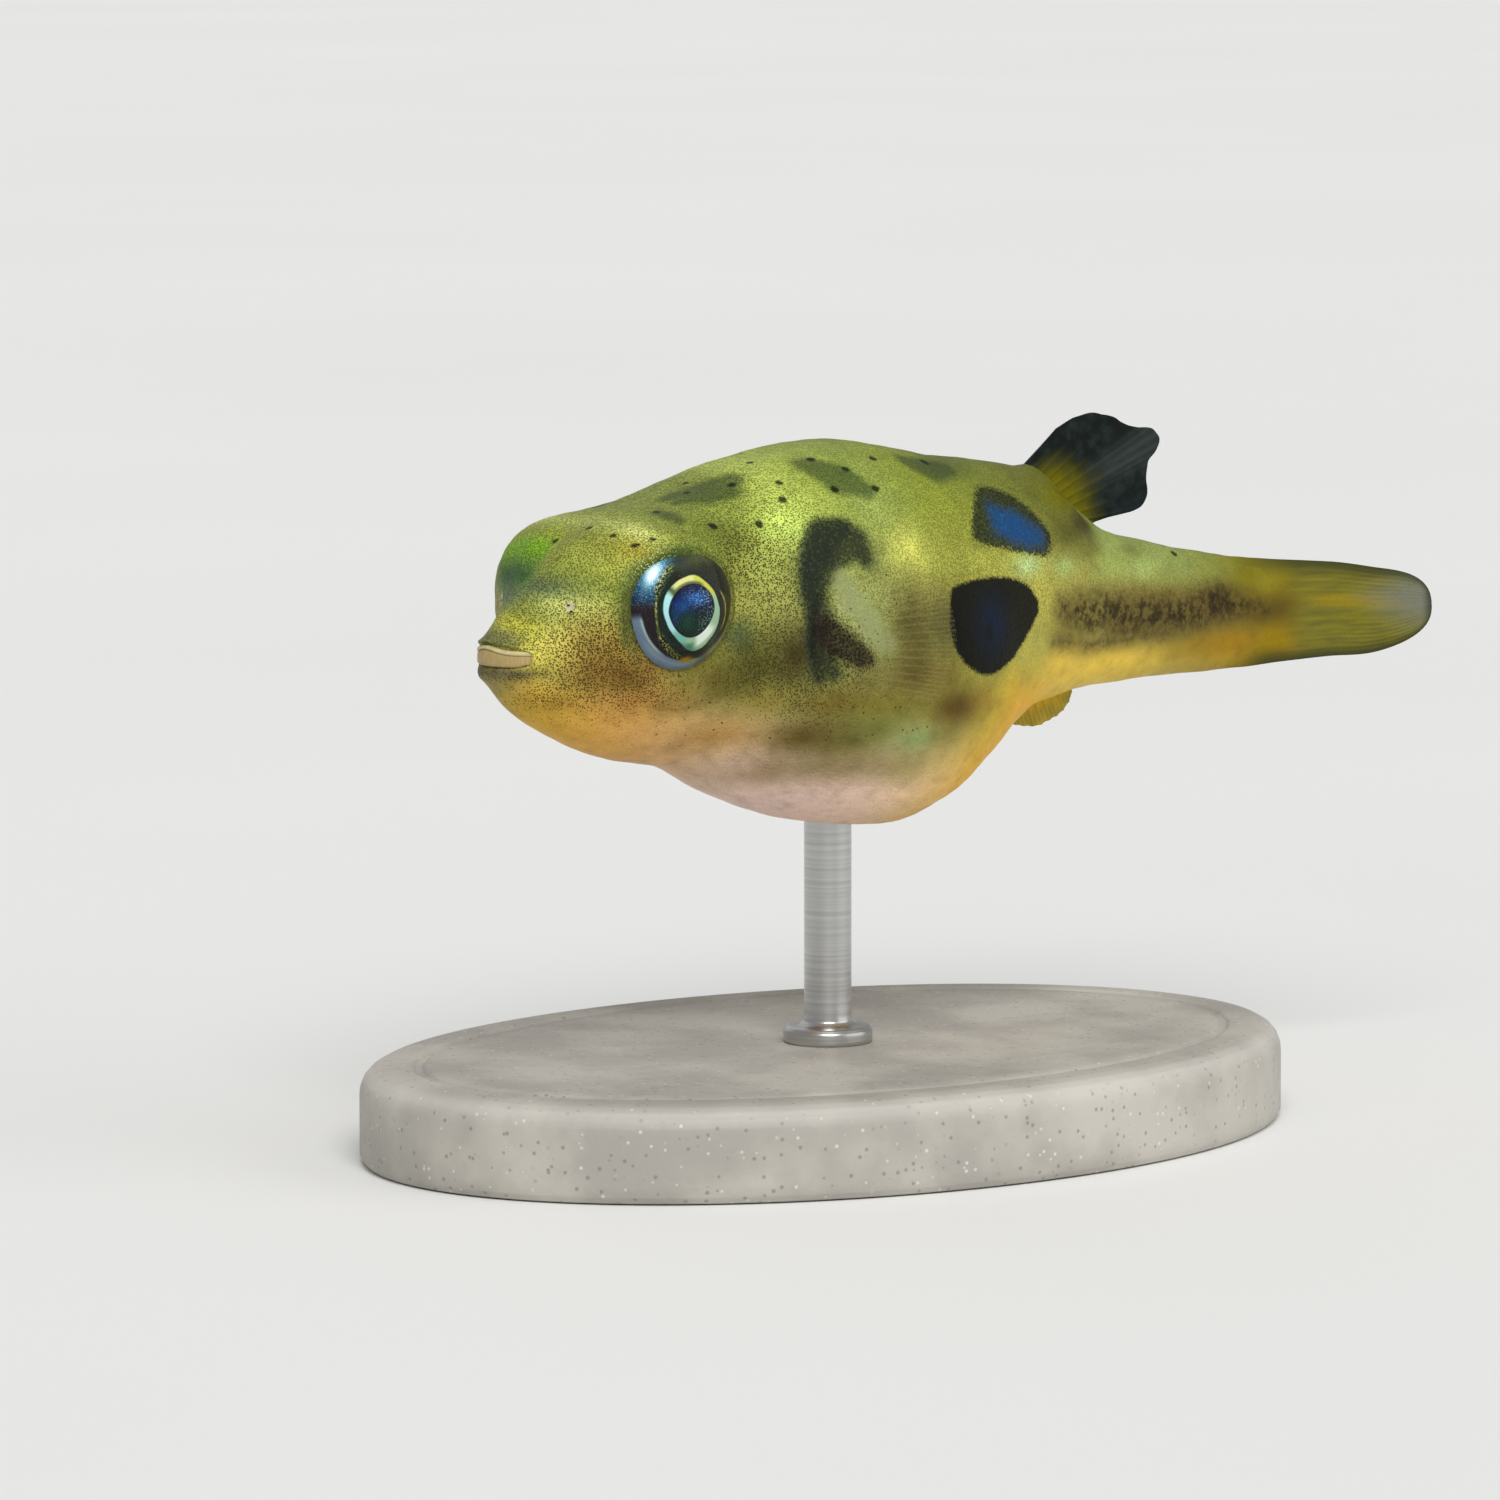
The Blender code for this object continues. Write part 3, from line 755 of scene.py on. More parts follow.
@dataclass(frozen=True)
class Coloration:
    """The fish's colours: a back, flank and belly tone along its length, patches over them, a few of them
    painted shade and highlights, and marks.
    """

    back: Line = Line((
        (0, 112, 118, 66), (1.5, 132, 142, 70), (3, 136, 146, 68), (6, 130, 140, 64), (7.3, 170, 184, 92),
        (8.5, 156, 170, 82), (10, 140, 154, 78), (12, 138, 148, 60), (14, 126, 134, 58), (17, 112, 114, 54),
        (19, 150, 164, 94), (22, 140, 150, 84), (25, 126, 118, 32)))
    flank: Line = Line((
        (0, 150, 144, 102), (.6, 192, 186, 90), (1.5, 182, 174, 92), (3, 140, 132, 66), (6, 148, 150, 80),
        (9, 148, 154, 92), (12, 146, 144, 68), (15, 172, 168, 84), (18, 150, 144, 76), (22, 140, 130, 62),
        (25, 126, 110, 32)))
    belly: Line = Line((
        (0, 150, 142, 92), (1, 208, 176, 78), (3, 222, 178, 104), (5, 224, 192, 150), (7.5, 248, 222, 210),
        (10, 250, 222, 198), (12, 240, 206, 140), (14, 234, 186, 54), (18, 236, 208, 92), (22, 190, 170, 76),
        (25, 160, 132, 26)))
    belly_edge: tuple[float, float] = (-.8, -.25)
    back_edge: tuple[float, float] = (.2, .85)
    strength: Spot = (.99, .97, .98)
    contrast: float = 1.12
    patches: tuple[Wash, ...] = washes(
        (.6, .62, .45, .36, .8, 192, 188, 76), (.3, -.5, .55, .14, .7, 84, 80, 66),
        (.22, .42, .3, .2, .75, 116, 114, 84), (1.5, 1.2, .42, .38, .8, 216, 220, 132),
        (2.1, 2.15, .45, .4, .6, 178, 182, 84), (1.95, 2.35, .55, .5, .85, 118, 166, 44, Side.RIGHT),
        # Painted shade: the next three patches, two on the right and one on the left, darken the hollow
        # between snout and brows.
        (1.55, 1.65, .45, .5, .8, 44, 84, 60, Side.RIGHT), (1.25, 1.25, .35, .3, .7, 80, 96, 86, Side.RIGHT),
        (1.25, 1.6, .38, .28, .7, 80, 98, 78, Side.LEFT), (3.1, 2.9, .46, .28, .8, 206, 212, 134),
        (2.7, 2.5, .45, .3, .55, 176, 158, 64), (5.3, 2.85, .62, .36, .6, 108, 118, 58),
        (2, .2, .55, .65, .6, 140, 118, 54), (2.3, -.45, 1, .58, .88, 142, 112, 54),
        (3, -.5, .55, .42, .6, 124, 98, 50), (1.35, -1.25, .65, .32, .75, 168, 140, 62),
        (2.9, -1.25, .9, .45, .7, 186, 140, 76), (4.1, -1.25, .6, .35, .6, 146, 120, 62),
        (5.2, -.85, .8, .6, .85, 100, 90, 42), (6, -.4, .75, .8, .88, 82, 82, 38),
        (7, -.25, .6, .85, .92, 66, 62, 34), (6.4, -1.4, .8, .4, .6, 142, 126, 58),
        (7.1, 2.9, .85, .5, .8, 188, 210, 108), (6.2, 2, .4, .5, .5, 160, 172, 92),
        (7.1, 1.7, .35, .7, .55, 108, 114, 60), (10.55, 2.1, .75, .6, .8, 208, 210, 106),
        (9.25, 2.05, .4, .5, .55, 94, 98, 58), (5.75, 3.35, .7, .34, .6, 146, 160, 80),
        (9.9, 3.35, .55, .36, .45, 162, 180, 102), (8.1, 1.9, .3, .4, .6, 58, 60, 40),
        (5.6, .3, .34, .42, .6, 62, 78, 60), (10.3, .3, .6, 1, .85, 84, 76, 40),
        (10.3, -.9, .7, .7, .8, 86, 74, 38), (11.4, .25, .62, .85, .88, 82, 78, 44),
        (11.3, -1, .7, .5, .6, 112, 94, 48), (9, -1, .9, .6, .55, 110, 98, 52),
        (8, -1.5, .8, .42, .8, 112, 96, 42), (9.4, -1.65, 1.3, .45, .7, 126, 114, 46),
        (11.9, -1.88, .85, .46, .88, 86, 64, 28), (12.9, -1.7, .5, .4, .55, 150, 120, 50),
        (7.45, -2.35, 1.05, .5, .88, 86, 72, 32), (8.6, -2.5, .9, .5, .75, 94, 88, 36),
        (9.4, -2.3, .8, .5, .65, 108, 114, 54), (10.7, -2.6, .7, .36, .85, 136, 158, 104),
        (11.7, -2.5, .6, .4, .6, 132, 124, 68), (5.4, -2.2, 1.2, .5, .7, 178, 140, 72),
        (7, -3.2, .6, .36, .6, 156, 130, 98), (10.7, -3.35, .8, .4, .6, 158, 150, 88),
        (8.7, -3.15, 1.9, .52, .74, 136, 122, 80), (13.4, 1.7, 1.4, .35, .55, 174, 180, 84),
        # Painted highlights: the two mint-white patches on this line, a soft sheen on the tail's root.
        (14.9, 1.45, .6, .28, .85, 180, 206, 146), (16.5, 1.3, .5, .3, .75, 166, 188, 120),
        (18.5, 1.1, 1, .4, .65, 158, 176, 98), (20, .95, .7, .35, .65, 158, 178, 108),
        (21.6, .8, 1, .35, .65, 138, 150, 86), (13.4, 4, 1.2, .32, .75, 92, 102, 50),
        (16, 3.1, .6, .5, .65, 104, 110, 50), (16.7, 2.1, .6, .5, .8, 90, 92, 40),
        (17.8, 2.25, .7, .4, .85, 66, 62, 30), (17.2, 2.95, .75, .32, .8, 112, 108, 8),
        (5.5, 2.6, .55, .45, .65, 98, 106, 46), (17.7, 1.6, .5, .24, .55, 104, 108, 50),
        (19.8, 1.42, .6, .2, .55, 110, 112, 56), (14.3, -1.6, .9, .6, .75, 204, 172, 60),
        (15, -2.2, 1.2, .5, .85, 228, 178, 44), (16.5, -1.15, 1, .45, .8, 238, 204, 82),
        (18.9, -1.35, 1.6, .38, .8, 240, 208, 88), (22.2, -1.2, 1.2, .36, .75, 160, 130, 38),
        (20.3, -.3, 3, .58, .8, 110, 100, 52), (16.5, -.1, .6, .6, .6, 124, 110, 54),
        (17.9, -.55, .45, .24, .75, 178, 166, 92), (22.9, -.1, .6, .4, .85, 66, 58, 28),
        (23.5, -1.3, 1, .35, .8, 164, 128, 26), (23, .7, 1, .4, .75, 134, 138, 68),
        (24.3, .4, .7, .5, .85, 124, 116, 28), (25.1, .22, .6, .28, .7, 146, 138, 42),
        (25.2, -1.22, .7, .3, .7, 154, 130, 26), (25.2, -1.9, 1, .32, .75, 82, 82, 36),
        (25.3, -.55, .95, .28, .65, 88, 74, 30),
    )
    olive: tuple[Stroke, ...] = (
        Stroke(((8.75, -1.5, 4.24, .4), (9.29, -2.09, 3.94, .62), (9.8, -2.45, 3.66, .34))),
        Stroke(((5.25, -.55, 3.5, .34), (5.95, -.85, 3.68, .52), (6.65, -1.05, 3.88, .42)), both=False),
        Stroke(((5.2, -1, 3.42, .24), (5.75, -1.3, 3.52, .4), (6.4, -1.48, 3.7, .34)), both=False),
        Stroke(((5.6, 1.5, 3.3, .3), (5.2, 2.1, 3, .24)), both=False),
        Stroke(((12, -1.45, 4.12, .42), (12.55, -1.64, 3.95, .58), (13.2, -1.4, 3.95, .4))),
        Stroke(((4.3, -1.28, 3.33, .26), (4.4, -1.6, 3.28, .32), (4.42, -1.97, 3.17, .24))),
    )
    hook: tuple[Stroke, ...] = (
        Stroke(((9.14, -3.38, 2, .24), (8.98, -3.15, 2.44, .42), (8.6, -3.1, 2.48, .64),
            (8.1, -3.1, 2.4, .68), (7.72, -3.2, 2.05, .54), (7.58, -3.35, 1.4, .44), (7.6, -3.44, .84, .4),
            (7.56, -3.45, -.02, .4), (7.6, -3.45, -.8, .26))),
        Stroke(((7.6, -3.45, -.2, .38), (7.95, -3.5, -.7, .3))),
    )
    hook_core: tuple[Stroke, ...] = (
        Stroke(((8.7, -3.05, 2.72, .26), (8.1, -3.05, 2.62, .46), (7.66, -3.2, 2.1, .36),
            (7.5, -3.35, 1.4, .26), (7.54, -3.44, .8, .2), (7.48, -3.45, -.1, .16))),
    )
    dots: tuple[Stroke, ...] = (
        *dots_at(True,
                 (4, -2.5, -.5, .045), (4.3, -1.25, 3.34, .1), (4.26, -2.44, 2.9, .05),
                 (5.2, -2.34, 2.98, .13), (6.48, -2.49, 2.96, .12), (6.58, -1.31, 3.79, .12),
                 (7.59, -1.82, 3.89, .11), (7.36, -2.28, 3.49, .12), (9.06, -1.34, 4.35, .13),
                 (8.95, -2.41, 3.64, .12), (9.68, -1.92, 4.11, .12), (10.8, -1.59, 4.28, .12),
                 (10.19, -2.48, 3.65, .12), (12.74, -1.23, 4.08, .15), (21.5, -.52, 1.2, .12)),
        *dots_at(False,
                 (2.46, -.85, 3.02, .1), (2.05, .06, 2.82, .1), (2.57, -1.74, 2.88, .09),
                 (6.08, -.04, 3.75, .09), (5.62, -.72, 3.62, .1), (7.72, -.55, 4.25, .11),
                 (6.9, 1.35, 3.95, .11), (8.3, .6, 4.45, .1), (11.4, .7, 4.5, .12), (14.6, .4, 4, .1)),
        Stroke(((2.74, -2.39, 2.63, .07), (2.86, -2.4, 2.66, .06)), both=False),
        Stroke(((3.22, -2.46, 2.72, .08), (3.32, -2.47, 2.74, .06)), both=False),
    )
    ink: tuple[Facet, ...] = (
        Facet(((11.72, 1.15), (12.66, 1.29), (13.9, 1.25), (14.84, .96), (15.27, .38), (14.8, -.2),
            (13.78, -.98), (13.02, -1.17), (12.05, -.76), (11.58, -.11), (11.56, .66))),
    )
    blue_rim: tuple[Facet, ...] = (
        Facet(((13.91, 3.51), (14.75, 3.39), (15.66, 2.85), (16.27, 2.04), (15.94, 1.54), (12.78, 2.15),
            (13, 2.73))),
    )
    blue_core: tuple[Facet, ...] = (
        Facet(((13.95, 2.98), (15, 2.76), (15.85, 2.18), (15.82, 1.84), (14.5, 2), (13.8, 2.32))),
    )
    navy: Wash = Wash((13.15, .1), (.56, .72))
    navy_hole: Wash = Wash((13, -.05), (.16, .24), .9)
    tail_band: tuple[Stroke, ...] = (
        Stroke(((16.2, -2.3, .28, .28), (17.5, -2.04, .02, .54), (19.2, -1.6, -.12, .58),
            (21, -1.2, -.34, .5), (23, -.75, -.18, .5), (24.2, -.5, -.36, .26), (24.9, -.3, -.52, .12))),
        Stroke(((16, -2.42, -.58, .08), (17.65, -1.84, -.83, .12), (19.3, -1.49, -.79, .08))),
    )
    lobe: tuple[Stroke, ...] = (
        Stroke(((8.34, -3.45, 1.57, .24), (8.5, -3.67, .97, .34), (9.03, -3.83, .26, .34),
            (9.55, -3.62, -.15, .18))),
    )
    maroon: tuple[Stroke, ...] = (
        Stroke(((7.83, -3.54, .31, .34), (8.15, -3.69, -.04, .4), (8.6, -3.89, -.3, .3),
            (8.85, -3.88, -.48, .16))),
    )
    slit: tuple[Stroke, ...] = (
        Stroke(((7.72, -3.4, 1.15, .02), (7.47, -3.5, .45, .03), (7.46, -3.5, -.3, .03),
            (7.78, -3.5, -1.25, .02))),
    )
    freckles: tuple[Wash, ...] = washes(
        (1.5, .6, 1, .8, .5), (2.2, -.45, 1.35, .85, 1.7), (2.2, .5, .6, .7, .85), (3.3, -1, .8, .4, .85),
        (1.2, -1, .7, .4, .75), (5.85, 2.25, .7, .62, 1.5), (4.4, 3, 2.6, .7, .22), (6.3, 1, .8, 1.3, .6),
        (6.2, -.6, .9, .65, 1.1), (7.3, 1.6, .8, 1.5, .55), (7.1, -.8, .8, 1, 1), (7.9, -1.7, .9, .5, .4),
        (.35, -.55, .45, .2, .8), (8.3, -.5, .9, .7, .95), (8.5, .8, .5, .9, .6), (7.8, 3.2, 1.8, .7, .16),
        (4.6, -1, 1.2, .4, .3),
    )
    sparse: tuple[Wash, ...] = washes(
        (4, -1.25, 1.7, .45, .34), (5.6, -1.7, 1.6, .5, .3), (8.9, .1, .7, 1.2, .55),
        (9.3, -1.9, 1.4, .7, .35), (9.6, .6, .6, .9, .4),
    )

    def tone(self, points: Array, share: Array) -> Array:
        """The base colour at each point, in linear light.

        Args:
            points: Points of the skin.
            share: How high each lies between belly (-1) and back (1).

        Returns:
            Linear colours, the points' shape by 3.
        """
        x = points[..., 0]
        level = [joined(*(line.at(x, column) for column in (1, 2, 3)))
                 for line in (self.belly, self.flank, self.back)]
        low = ease(share, *self.belly_edge)[..., None]
        top = ease(share, *self.back_edge)[..., None]
        colour = (level[0] * (1 - low) + level[1] * low) * (1 - top) + level[2] * top
        for patch in self.patches:
            cover = patch.cover(points)[..., None]
            colour = colour * (1 - cover) + cover * patch.colour
        return linear(colour) ** self.contrast * self.strength

    def marks(self, points: Array) -> dict[str, Array]:
        """Every mark's field: signed distances in millimetres, and shares of the soft patches.

        Args:
            points: Points of the skin.

        Returns:
            The fields by name.
        """
        made = {name: np.min([mark.distance(points) for mark in getattr(self, name)], axis=0)
                for name in ("olive", "hook", "dots", "ink", "blue_rim", "blue_core", "hook_core",
                             "tail_band", "lobe", "maroon", "slit")}
        made["navy"] = self.navy.cover(points) * (1 - self.navy_hole.cover(points))
        for name, group in (("freckles", self.freckles), ("sparse", self.sparse)):
            left = np.ones(points.shape[:-1])
            for patch in group:
                left = left * (1 - np.minimum(patch.cover(points), 1))
            made[name] = 1 - left
        return made


# ---- the skin ----

@dataclass(frozen=True)
class SkinFinish:
    """Wet bare skin: colour washes, a fine dark net, freckles, blotches built of dots, a leathery grain, and
    painted shade and glints round the eyes and openings.
    """

    freckle_size: float = .053
    sparse_size: float = .15
    glint_size: float = .042
    blotch_dot: float = .072
    band_grain: float = .24
    net: Rgb = (60, 66, 20)
    freckle: Rgb = (58, 44, 18)
    olive: Rgb = (58, 74, 38)
    hook: Rgb = (46, 54, 34)
    hook_deep: Rgb = (30, 36, 28)
    hook_core: Rgb = (24, 31, 31)
    dot: Rgb = (22, 26, 16)
    ink: Rgb = (9, 11, 11)
    navy: Rgb = (20, 38, 66)
    blue: Rgb = (22, 68, 114)
    blue_spark: Rgb = (86, 142, 196)
    blue_rim: Rgb = (42, 50, 32)
    band: Rgb = (84, 68, 34)
    band_deep: Rgb = (34, 25, 14)
    mint: Rgb = (138, 146, 98)
    maroon: Rgb = (42, 30, 26)
    # Painted shade in the gill slit's groove and the nostril's pores; also the dark ring round the nostril.
    slit: Rgb = (20, 18, 12)
    nostril: Rgb = (206, 196, 172)
    # Painted tones round the eyes: green shade round the lids, a darker shade along their edge, and pale
    # glints.
    lid_shade_green: Rgb = (62, 84, 34)
    lid_edge_shade: Rgb = (44, 58, 32)
    lid_glint: Rgb = (228, 244, 168)
    # Painted shade inside the mouth's pocket.
    pocket: Rgb = (44, 32, 20)

    def make(self) -> Material:
        """Build the material.

        Returns:
            The skin's finish, from the tone at its points up to the finest marks.
        """
        paint = Paint("skin")
        where = paint.spot()
        fine = paint.noise(where, .09, 3)
        soft = paint.noise(where, .45, 3)
        base = paint.colour_field("tone")
        base = paint.scaled(base, 1.02 - soft.rise(.46, .8) * .22 + soft.rise(.5, .22) * .12)
        base = self._net(paint, base, where)
        base = self._blotches(paint, base, where, soft, fine)
        base = self._sparse(paint, base, where)
        base = self._rims(paint, base, where, fine)
        grain = fine * .6 + paint.noise(where, .22, 2) * .4
        rough = grain.rise(.2, .9) * .16 + .36
        return paint.finish({
            "Base Color": base, "Roughness": rough, "Normal": paint.relief(grain, .036),
            "Subsurface Weight": .06, "Subsurface Radius": (1, .62, .3), "Subsurface Scale": .00012,
            "Specular IOR Level": .045, "Coat Weight": .015, "Coat Roughness": .18})

    @staticmethod
    def _stippled(cell: Signal, share: Signal) -> Signal:
        """Dots round the middles of cells that grow with a share of 0 to 1 until they meet."""
        return cell.rise(share + .07, share - .07) * share.rise(.02, .12)

    def _net(self, paint: Paint, base: Coat, where: Socket) -> Coat:
        """Lay on the finest grain, a faint dark point in every cell of a paler net, and the freckles.

        A cell's point turns into a dark freckle where the freckles' field is above the cell's own lot.

        Args:
            paint: The material being made.
            base: The colour so far.
            where: Where patterns are read.

        Returns:
            The new colour.
        """
        cell, lots = paint.cells(where, self.freckle_size, .8)
        amount = paint.field("net")
        base = paint.coats(base, (self.net, cell.rise(.55, .24) * amount * .66))
        base = paint.scaled(base, cell.rise(.42, .7) * amount * .46 + 1)
        dense = paint.field("freckles")
        chosen = (dense * 1.1 - paint.channel(lots)).rise(-.04, .08)
        radius = dense * .13 + .3
        return paint.coats(base, (self.freckle, cell.rise(radius + .08, radius - .06) * chosen * .8))

    def _blotches(self, paint: Paint, base: Coat, where: Socket, soft: Signal, fine: Signal) -> Coat:
        """Lay on the blotches, whose edges break up into dots.

        Args:
            paint: The material being made.
            base: The colour so far.
            where: Where patterns are read.
            soft: Broad noise that bends the edges.
            fine: Fine noise that frays them.

        Returns:
            The new colour.
        """
        dots, lots = paint.cells(where, self.blotch_dot)
        ragged = (fine - .5) * .22 + (soft - .5) * .26
        olive = (paint.field("olive") + ragged * 1.2).rise(.16, -.22)
        hook = paint.field("hook") + ragged
        maroon = paint.field("maroon") + ragged
        rim = (paint.field("blue_rim") + (dots - .5) * .16 + (soft - .5) * .12).rise(.08, -.08)
        glint = paint.coats(self.blue, (self.blue_spark,
                                        paint.channel(lots).rise(.62, .82) * dots.rise(.55, .2) * .25))
        ink = (paint.field("ink") - .07 + (dots - .5) * .1 + (soft - .5) * .12).rise(.06, -.06)
        mottle = paint.noise(where, self.band_grain, 4, .68)
        band = paint.field("tail_band") + (soft - .5) * .55 + (fine - .5) * .25
        return paint.coats(
            base,
            (self.olive, olive * .74),
            (self.dot, self._stippled(dots, olive * .3) * .5),
            (self.mint, (paint.field("lobe") + ragged).rise(.24, -.22) * .75),
            (self.hook, hook.rise(.16, -.16) * .78),
            (self.hook_deep, self._stippled(dots, hook.rise(.24, -.36) * .7) * .7),
            (self.hook_core, (paint.field("hook_core") + ragged).rise(.2, -.22) * .62),
            (self.maroon, maroon.rise(.22, -.18) * .88),
            (self.dot, self._stippled(dots, maroon.rise(.3, -.2) * .5) * .8),
            (self.blue_rim, rim * .88),
            (self.dot, self._stippled(dots, rim * .5) * .7),
            (glint, (paint.field("blue_core") + ragged * 1.2).rise(.26, -.2) * .92),
            (self.ink, ink * .98),
            (self.navy, paint.field("navy") * ink * (1 - dots.rise(.45, .25) * .5) * .55),
            (self.band, band.rise(.42, -.26) * .5),
            (self.band_deep, band.rise(.36, -.5) * mottle.rise(.38, .6) * .86),
            (self.dot, (paint.field("dots") + (fine - .5) * .06).rise(.035, -.045) * .92))

    def _sparse(self, paint: Paint, base: Coat, where: Socket) -> Coat:
        """Scatter a few larger freckles where their field says.

        Args:
            paint: The material being made.
            base: The colour so far.
            where: Where patterns are read.

        Returns:
            The new colour.
        """
        wide, lots = paint.cells(where, self.sparse_size, .9)
        chosen = (paint.field("sparse") - paint.channel(lots, 1)).rise(-.05, .05)
        return paint.coats(base, (self.freckle, wide.rise(.25, .14) * chosen * .85))

    def _rims(self, paint: Paint, base: Coat, where: Socket, fine: Signal) -> Coat:
        """Colour the skin round the eye, the gill slit, the nostrils and the mouth's pocket, with painted
        shade at the lids, the slit, the pores and the pocket, and painted glints above the eyes.

        Args:
            paint: The material being made.
            base: The colour so far.
            where: Where patterns are read.
            fine: Fine noise that breaks up the rims.

        Returns:
            The new colour.
        """
        # Painted glints: pale flecks on the skin just outside the lids, above each eye's front.
        flash, lots = paint.cells(where, self.glint_size, 1)
        glint = flash.rise(.5, .2) * paint.channel(lots).rise(.45, .65) * paint.field("glint")
        nostril = paint.field("nostril") + (fine - .5) * .08
        return paint.coats(
            base,
            # Painted shade round the lids, strongest at each eye's front and top, and a dark shaded line
            # along their edge.
            (self.lid_shade_green, paint.field("lid_shade") * (fine * .9 + .1)),
            (self.lid_edge_shade, paint.field("lid_edge_shade") * .45),
            (self.lid_glint, glint * .9),
            # Painted shade in the gill slit's groove.
            (self.slit, paint.field("slit").rise(.1, -.04) * .5),
            (self.slit, abs(nostril - .2).rise(.045, .01) * fine.rise(.42, .6) * .45),
            (self.nostril, nostril.rise(.16, .08) * .8),
            # Painted shade in the nostril's pores.
            (self.slit, paint.field("pore").rise(.062, .03) * .95),
            # Painted shade deep in the mouth's pocket, behind the lips.
            (self.pocket, paint.field("mouth_shade") * .92))


@dataclass
class Skin:
    """The one skin of the fish, from the pocket of the mouth to the root of the tail fin."""

    body: Body = field(default_factory=Body)
    seat: EyeSeat = field(default_factory=EyeSeat)
    coloration: Coloration = field(default_factory=Coloration)
    finish: SkinFinish = field(default_factory=SkinFinish)
    around: int = 300
    fine_turns: int = 1400
    samples: int = 4000
    lips_end: float = .12
    tail_end: float = 25.4
    spacing: Line = Line((
        (.12, .045), (1.5, .055), (2.2, .05), (5.9, .05), (6.8, .075), (10.4, .085), (11.4, .135), (24, .14),
        (25.4, .1)))
    mouth: Line = Line((
        (0, .5, .84, .00, -.24, 0), (.2, .34, .92, .03, -.29, .08), (.4, .19, .97, .055, -.325, .11),
        (.5, .125, 1, .075, -.35, .11), (.6, .09, 1.03, .1, -.395, .105), (.7, .07, 1.06, .135, -.45, .09),
        (.8, .065, 1.09, .175, -.51, .07), (.9, .08, 1.12, .225, -.575, .05),
        (1, .12, 1.15, .285, -.645, .02)))
    peak: float = .4
    lip_lean: float = .085
    mouth_rows: int = 24
    socket_depth: float = .74
    socket_blend: float = 7.0
    nostril: Spot = (1.54, -1.43, 1.14)
    pores: tuple[Spot, ...] = ((1.5, -1.38, 1.21), (1.5, -1.46, 1.05))
    lumps: tuple[float, float] = (.012, .006)
    slit_depth: float = .09
    finned_back: tuple[float, float] = (16.6, 19.3)
    net_fades: tuple[Spot, ...] = ((.35, 6.5, 9), (.25, 14, 18), (.38, 22, 24.8))

    def dress(self, place: Placement) -> Piece:
        """Build the skin, paint it and let it stand for the three nodes of flesh.

        Args:
            place: Where the fish lies.

        Returns:
            The skin.
        """
        smooth = self._smooth_rings()
        rings = self._carved(smooth)
        share = self._height_share(rings)
        fields = self.coloration.marks(rings) | self._rims(rings, smooth)
        fading = sum(part * ease(rings[..., 0], start, stop) for part, start, stop in self.net_fades)
        fields["net"] = (.15 + .85 * ease(share, -.5, .3)) * (1 - fading)
        fields["tone"] = self.coloration.tone(rings, share)
        made = Loft("skin_body", rings, fields).build(place, self.finish.make())
        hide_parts("head", "trunk", "tail")
        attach(made, ROOT)
        return made

    def _stations(self) -> Array:
        """Places along the body, spaced as the spacing line says: the inverse of its running sum."""
        x = np.linspace(self.lips_end, self.tail_end, self.samples)
        run = np.concatenate([[0], np.cumsum(np.diff(x) / self.spacing.at(x[:-1]))])
        return np.interp(np.linspace(0, run[-1], int(run[-1]) + 1), run, x)

    def _smooth_rings(self) -> Array:
        """The rings of the mouth's pocket and lips, then those of the body, evenly spaced round it.

        Returns:
            Rows by points by 3.
        """
        turn = turns(self.fine_turns) - math.pi / 2
        t = np.linspace(0, 1, self.mouth_rows)[:, None]
        x, half, top, low, arch = (self.mouth.at(t, column) for column in (1, 2, 3, 4, 5))
        level = (top + low) / 2 * (1 - t) + self.body.waist.at(x) * t
        square = 4.6 - 2.6 * ease(t, .5, 1)
        y = -half * round_power(np.cos(turn), square)
        z = level + np.where(np.sin(turn) > 0, top - level, level - low) * round_power(np.sin(turn), square)
        z = z + arch * bell(y, self.peak) * ease(np.sin(turn), 0, .8)
        curve = self.body.face_curve.at(x)
        x = x + self.lip_lean * ease(np.sin(turn), .0, .7) * bell(t - .75, .2)
        mouth = joined(x + curve * y * y, y, z)
        mouth = mouth + (self.body.pushed(mouth) - mouth) * (t**2)[..., None]
        body = self.body.ring(self._stations()[1:, None], turn)
        fine = np.concatenate([mouth, body])
        near = bell(fine[..., 2] - 1.1, 1.7) * ease(fine[..., 0], 1.6, 2.4) * ease(fine[..., 0], 6.6, 5.8)
        return even_rings(fine, self.around, 1 + .55 * near)

    def _carved(self, smooth: Array) -> Array:
        """Work the fine relief into the skin: low lumps, gill slit, nostrils, fin roots, then the sockets.

        Args:
            smooth: Points of the smooth skin.

        Returns:
            The moved points.
        """
        normal = grid_normals(smooth)
        x, y, z = (smooth[..., axis] for axis in range(3))
        broad, small = self.lumps
        lift = broad * np.sin(3.1 * x + 1.7 * y) * np.sin(2.3 * z + .8 * x) * ease(x, 1, 3)
        lift += small * np.sin(9 * x + 4 * z) * np.sin(7 * z - 5 * y + 1) * ease(x, .6, 2)
        slit = self.coloration.slit[0].distance(smooth)
        lift -= self.slit_depth * bell(slit, .1)
        lift += .03 * bell(slit - .16, .12) * ease(x, 7.6, 7.4)
        nostril = self._gap(smooth, self.nostril)
        lift += .04 * bell(nostril - .12, .06) - .05 * bell(nostril, .05)
        start, stop = self.finned_back
        root = ease(x, start, start + .5) * ease(x, stop, stop - .6)
        lift += .16 * bell(y, .42) * root * ease(z, 1, 1.8)
        lift += .1 * bell(y, .35) * ease(x, 16.1, 16.5) * ease(x, 18.3, 17.8) * ease(z, -1.2, -1.9)
        return self._socketed(smooth + normal * lift[..., None])

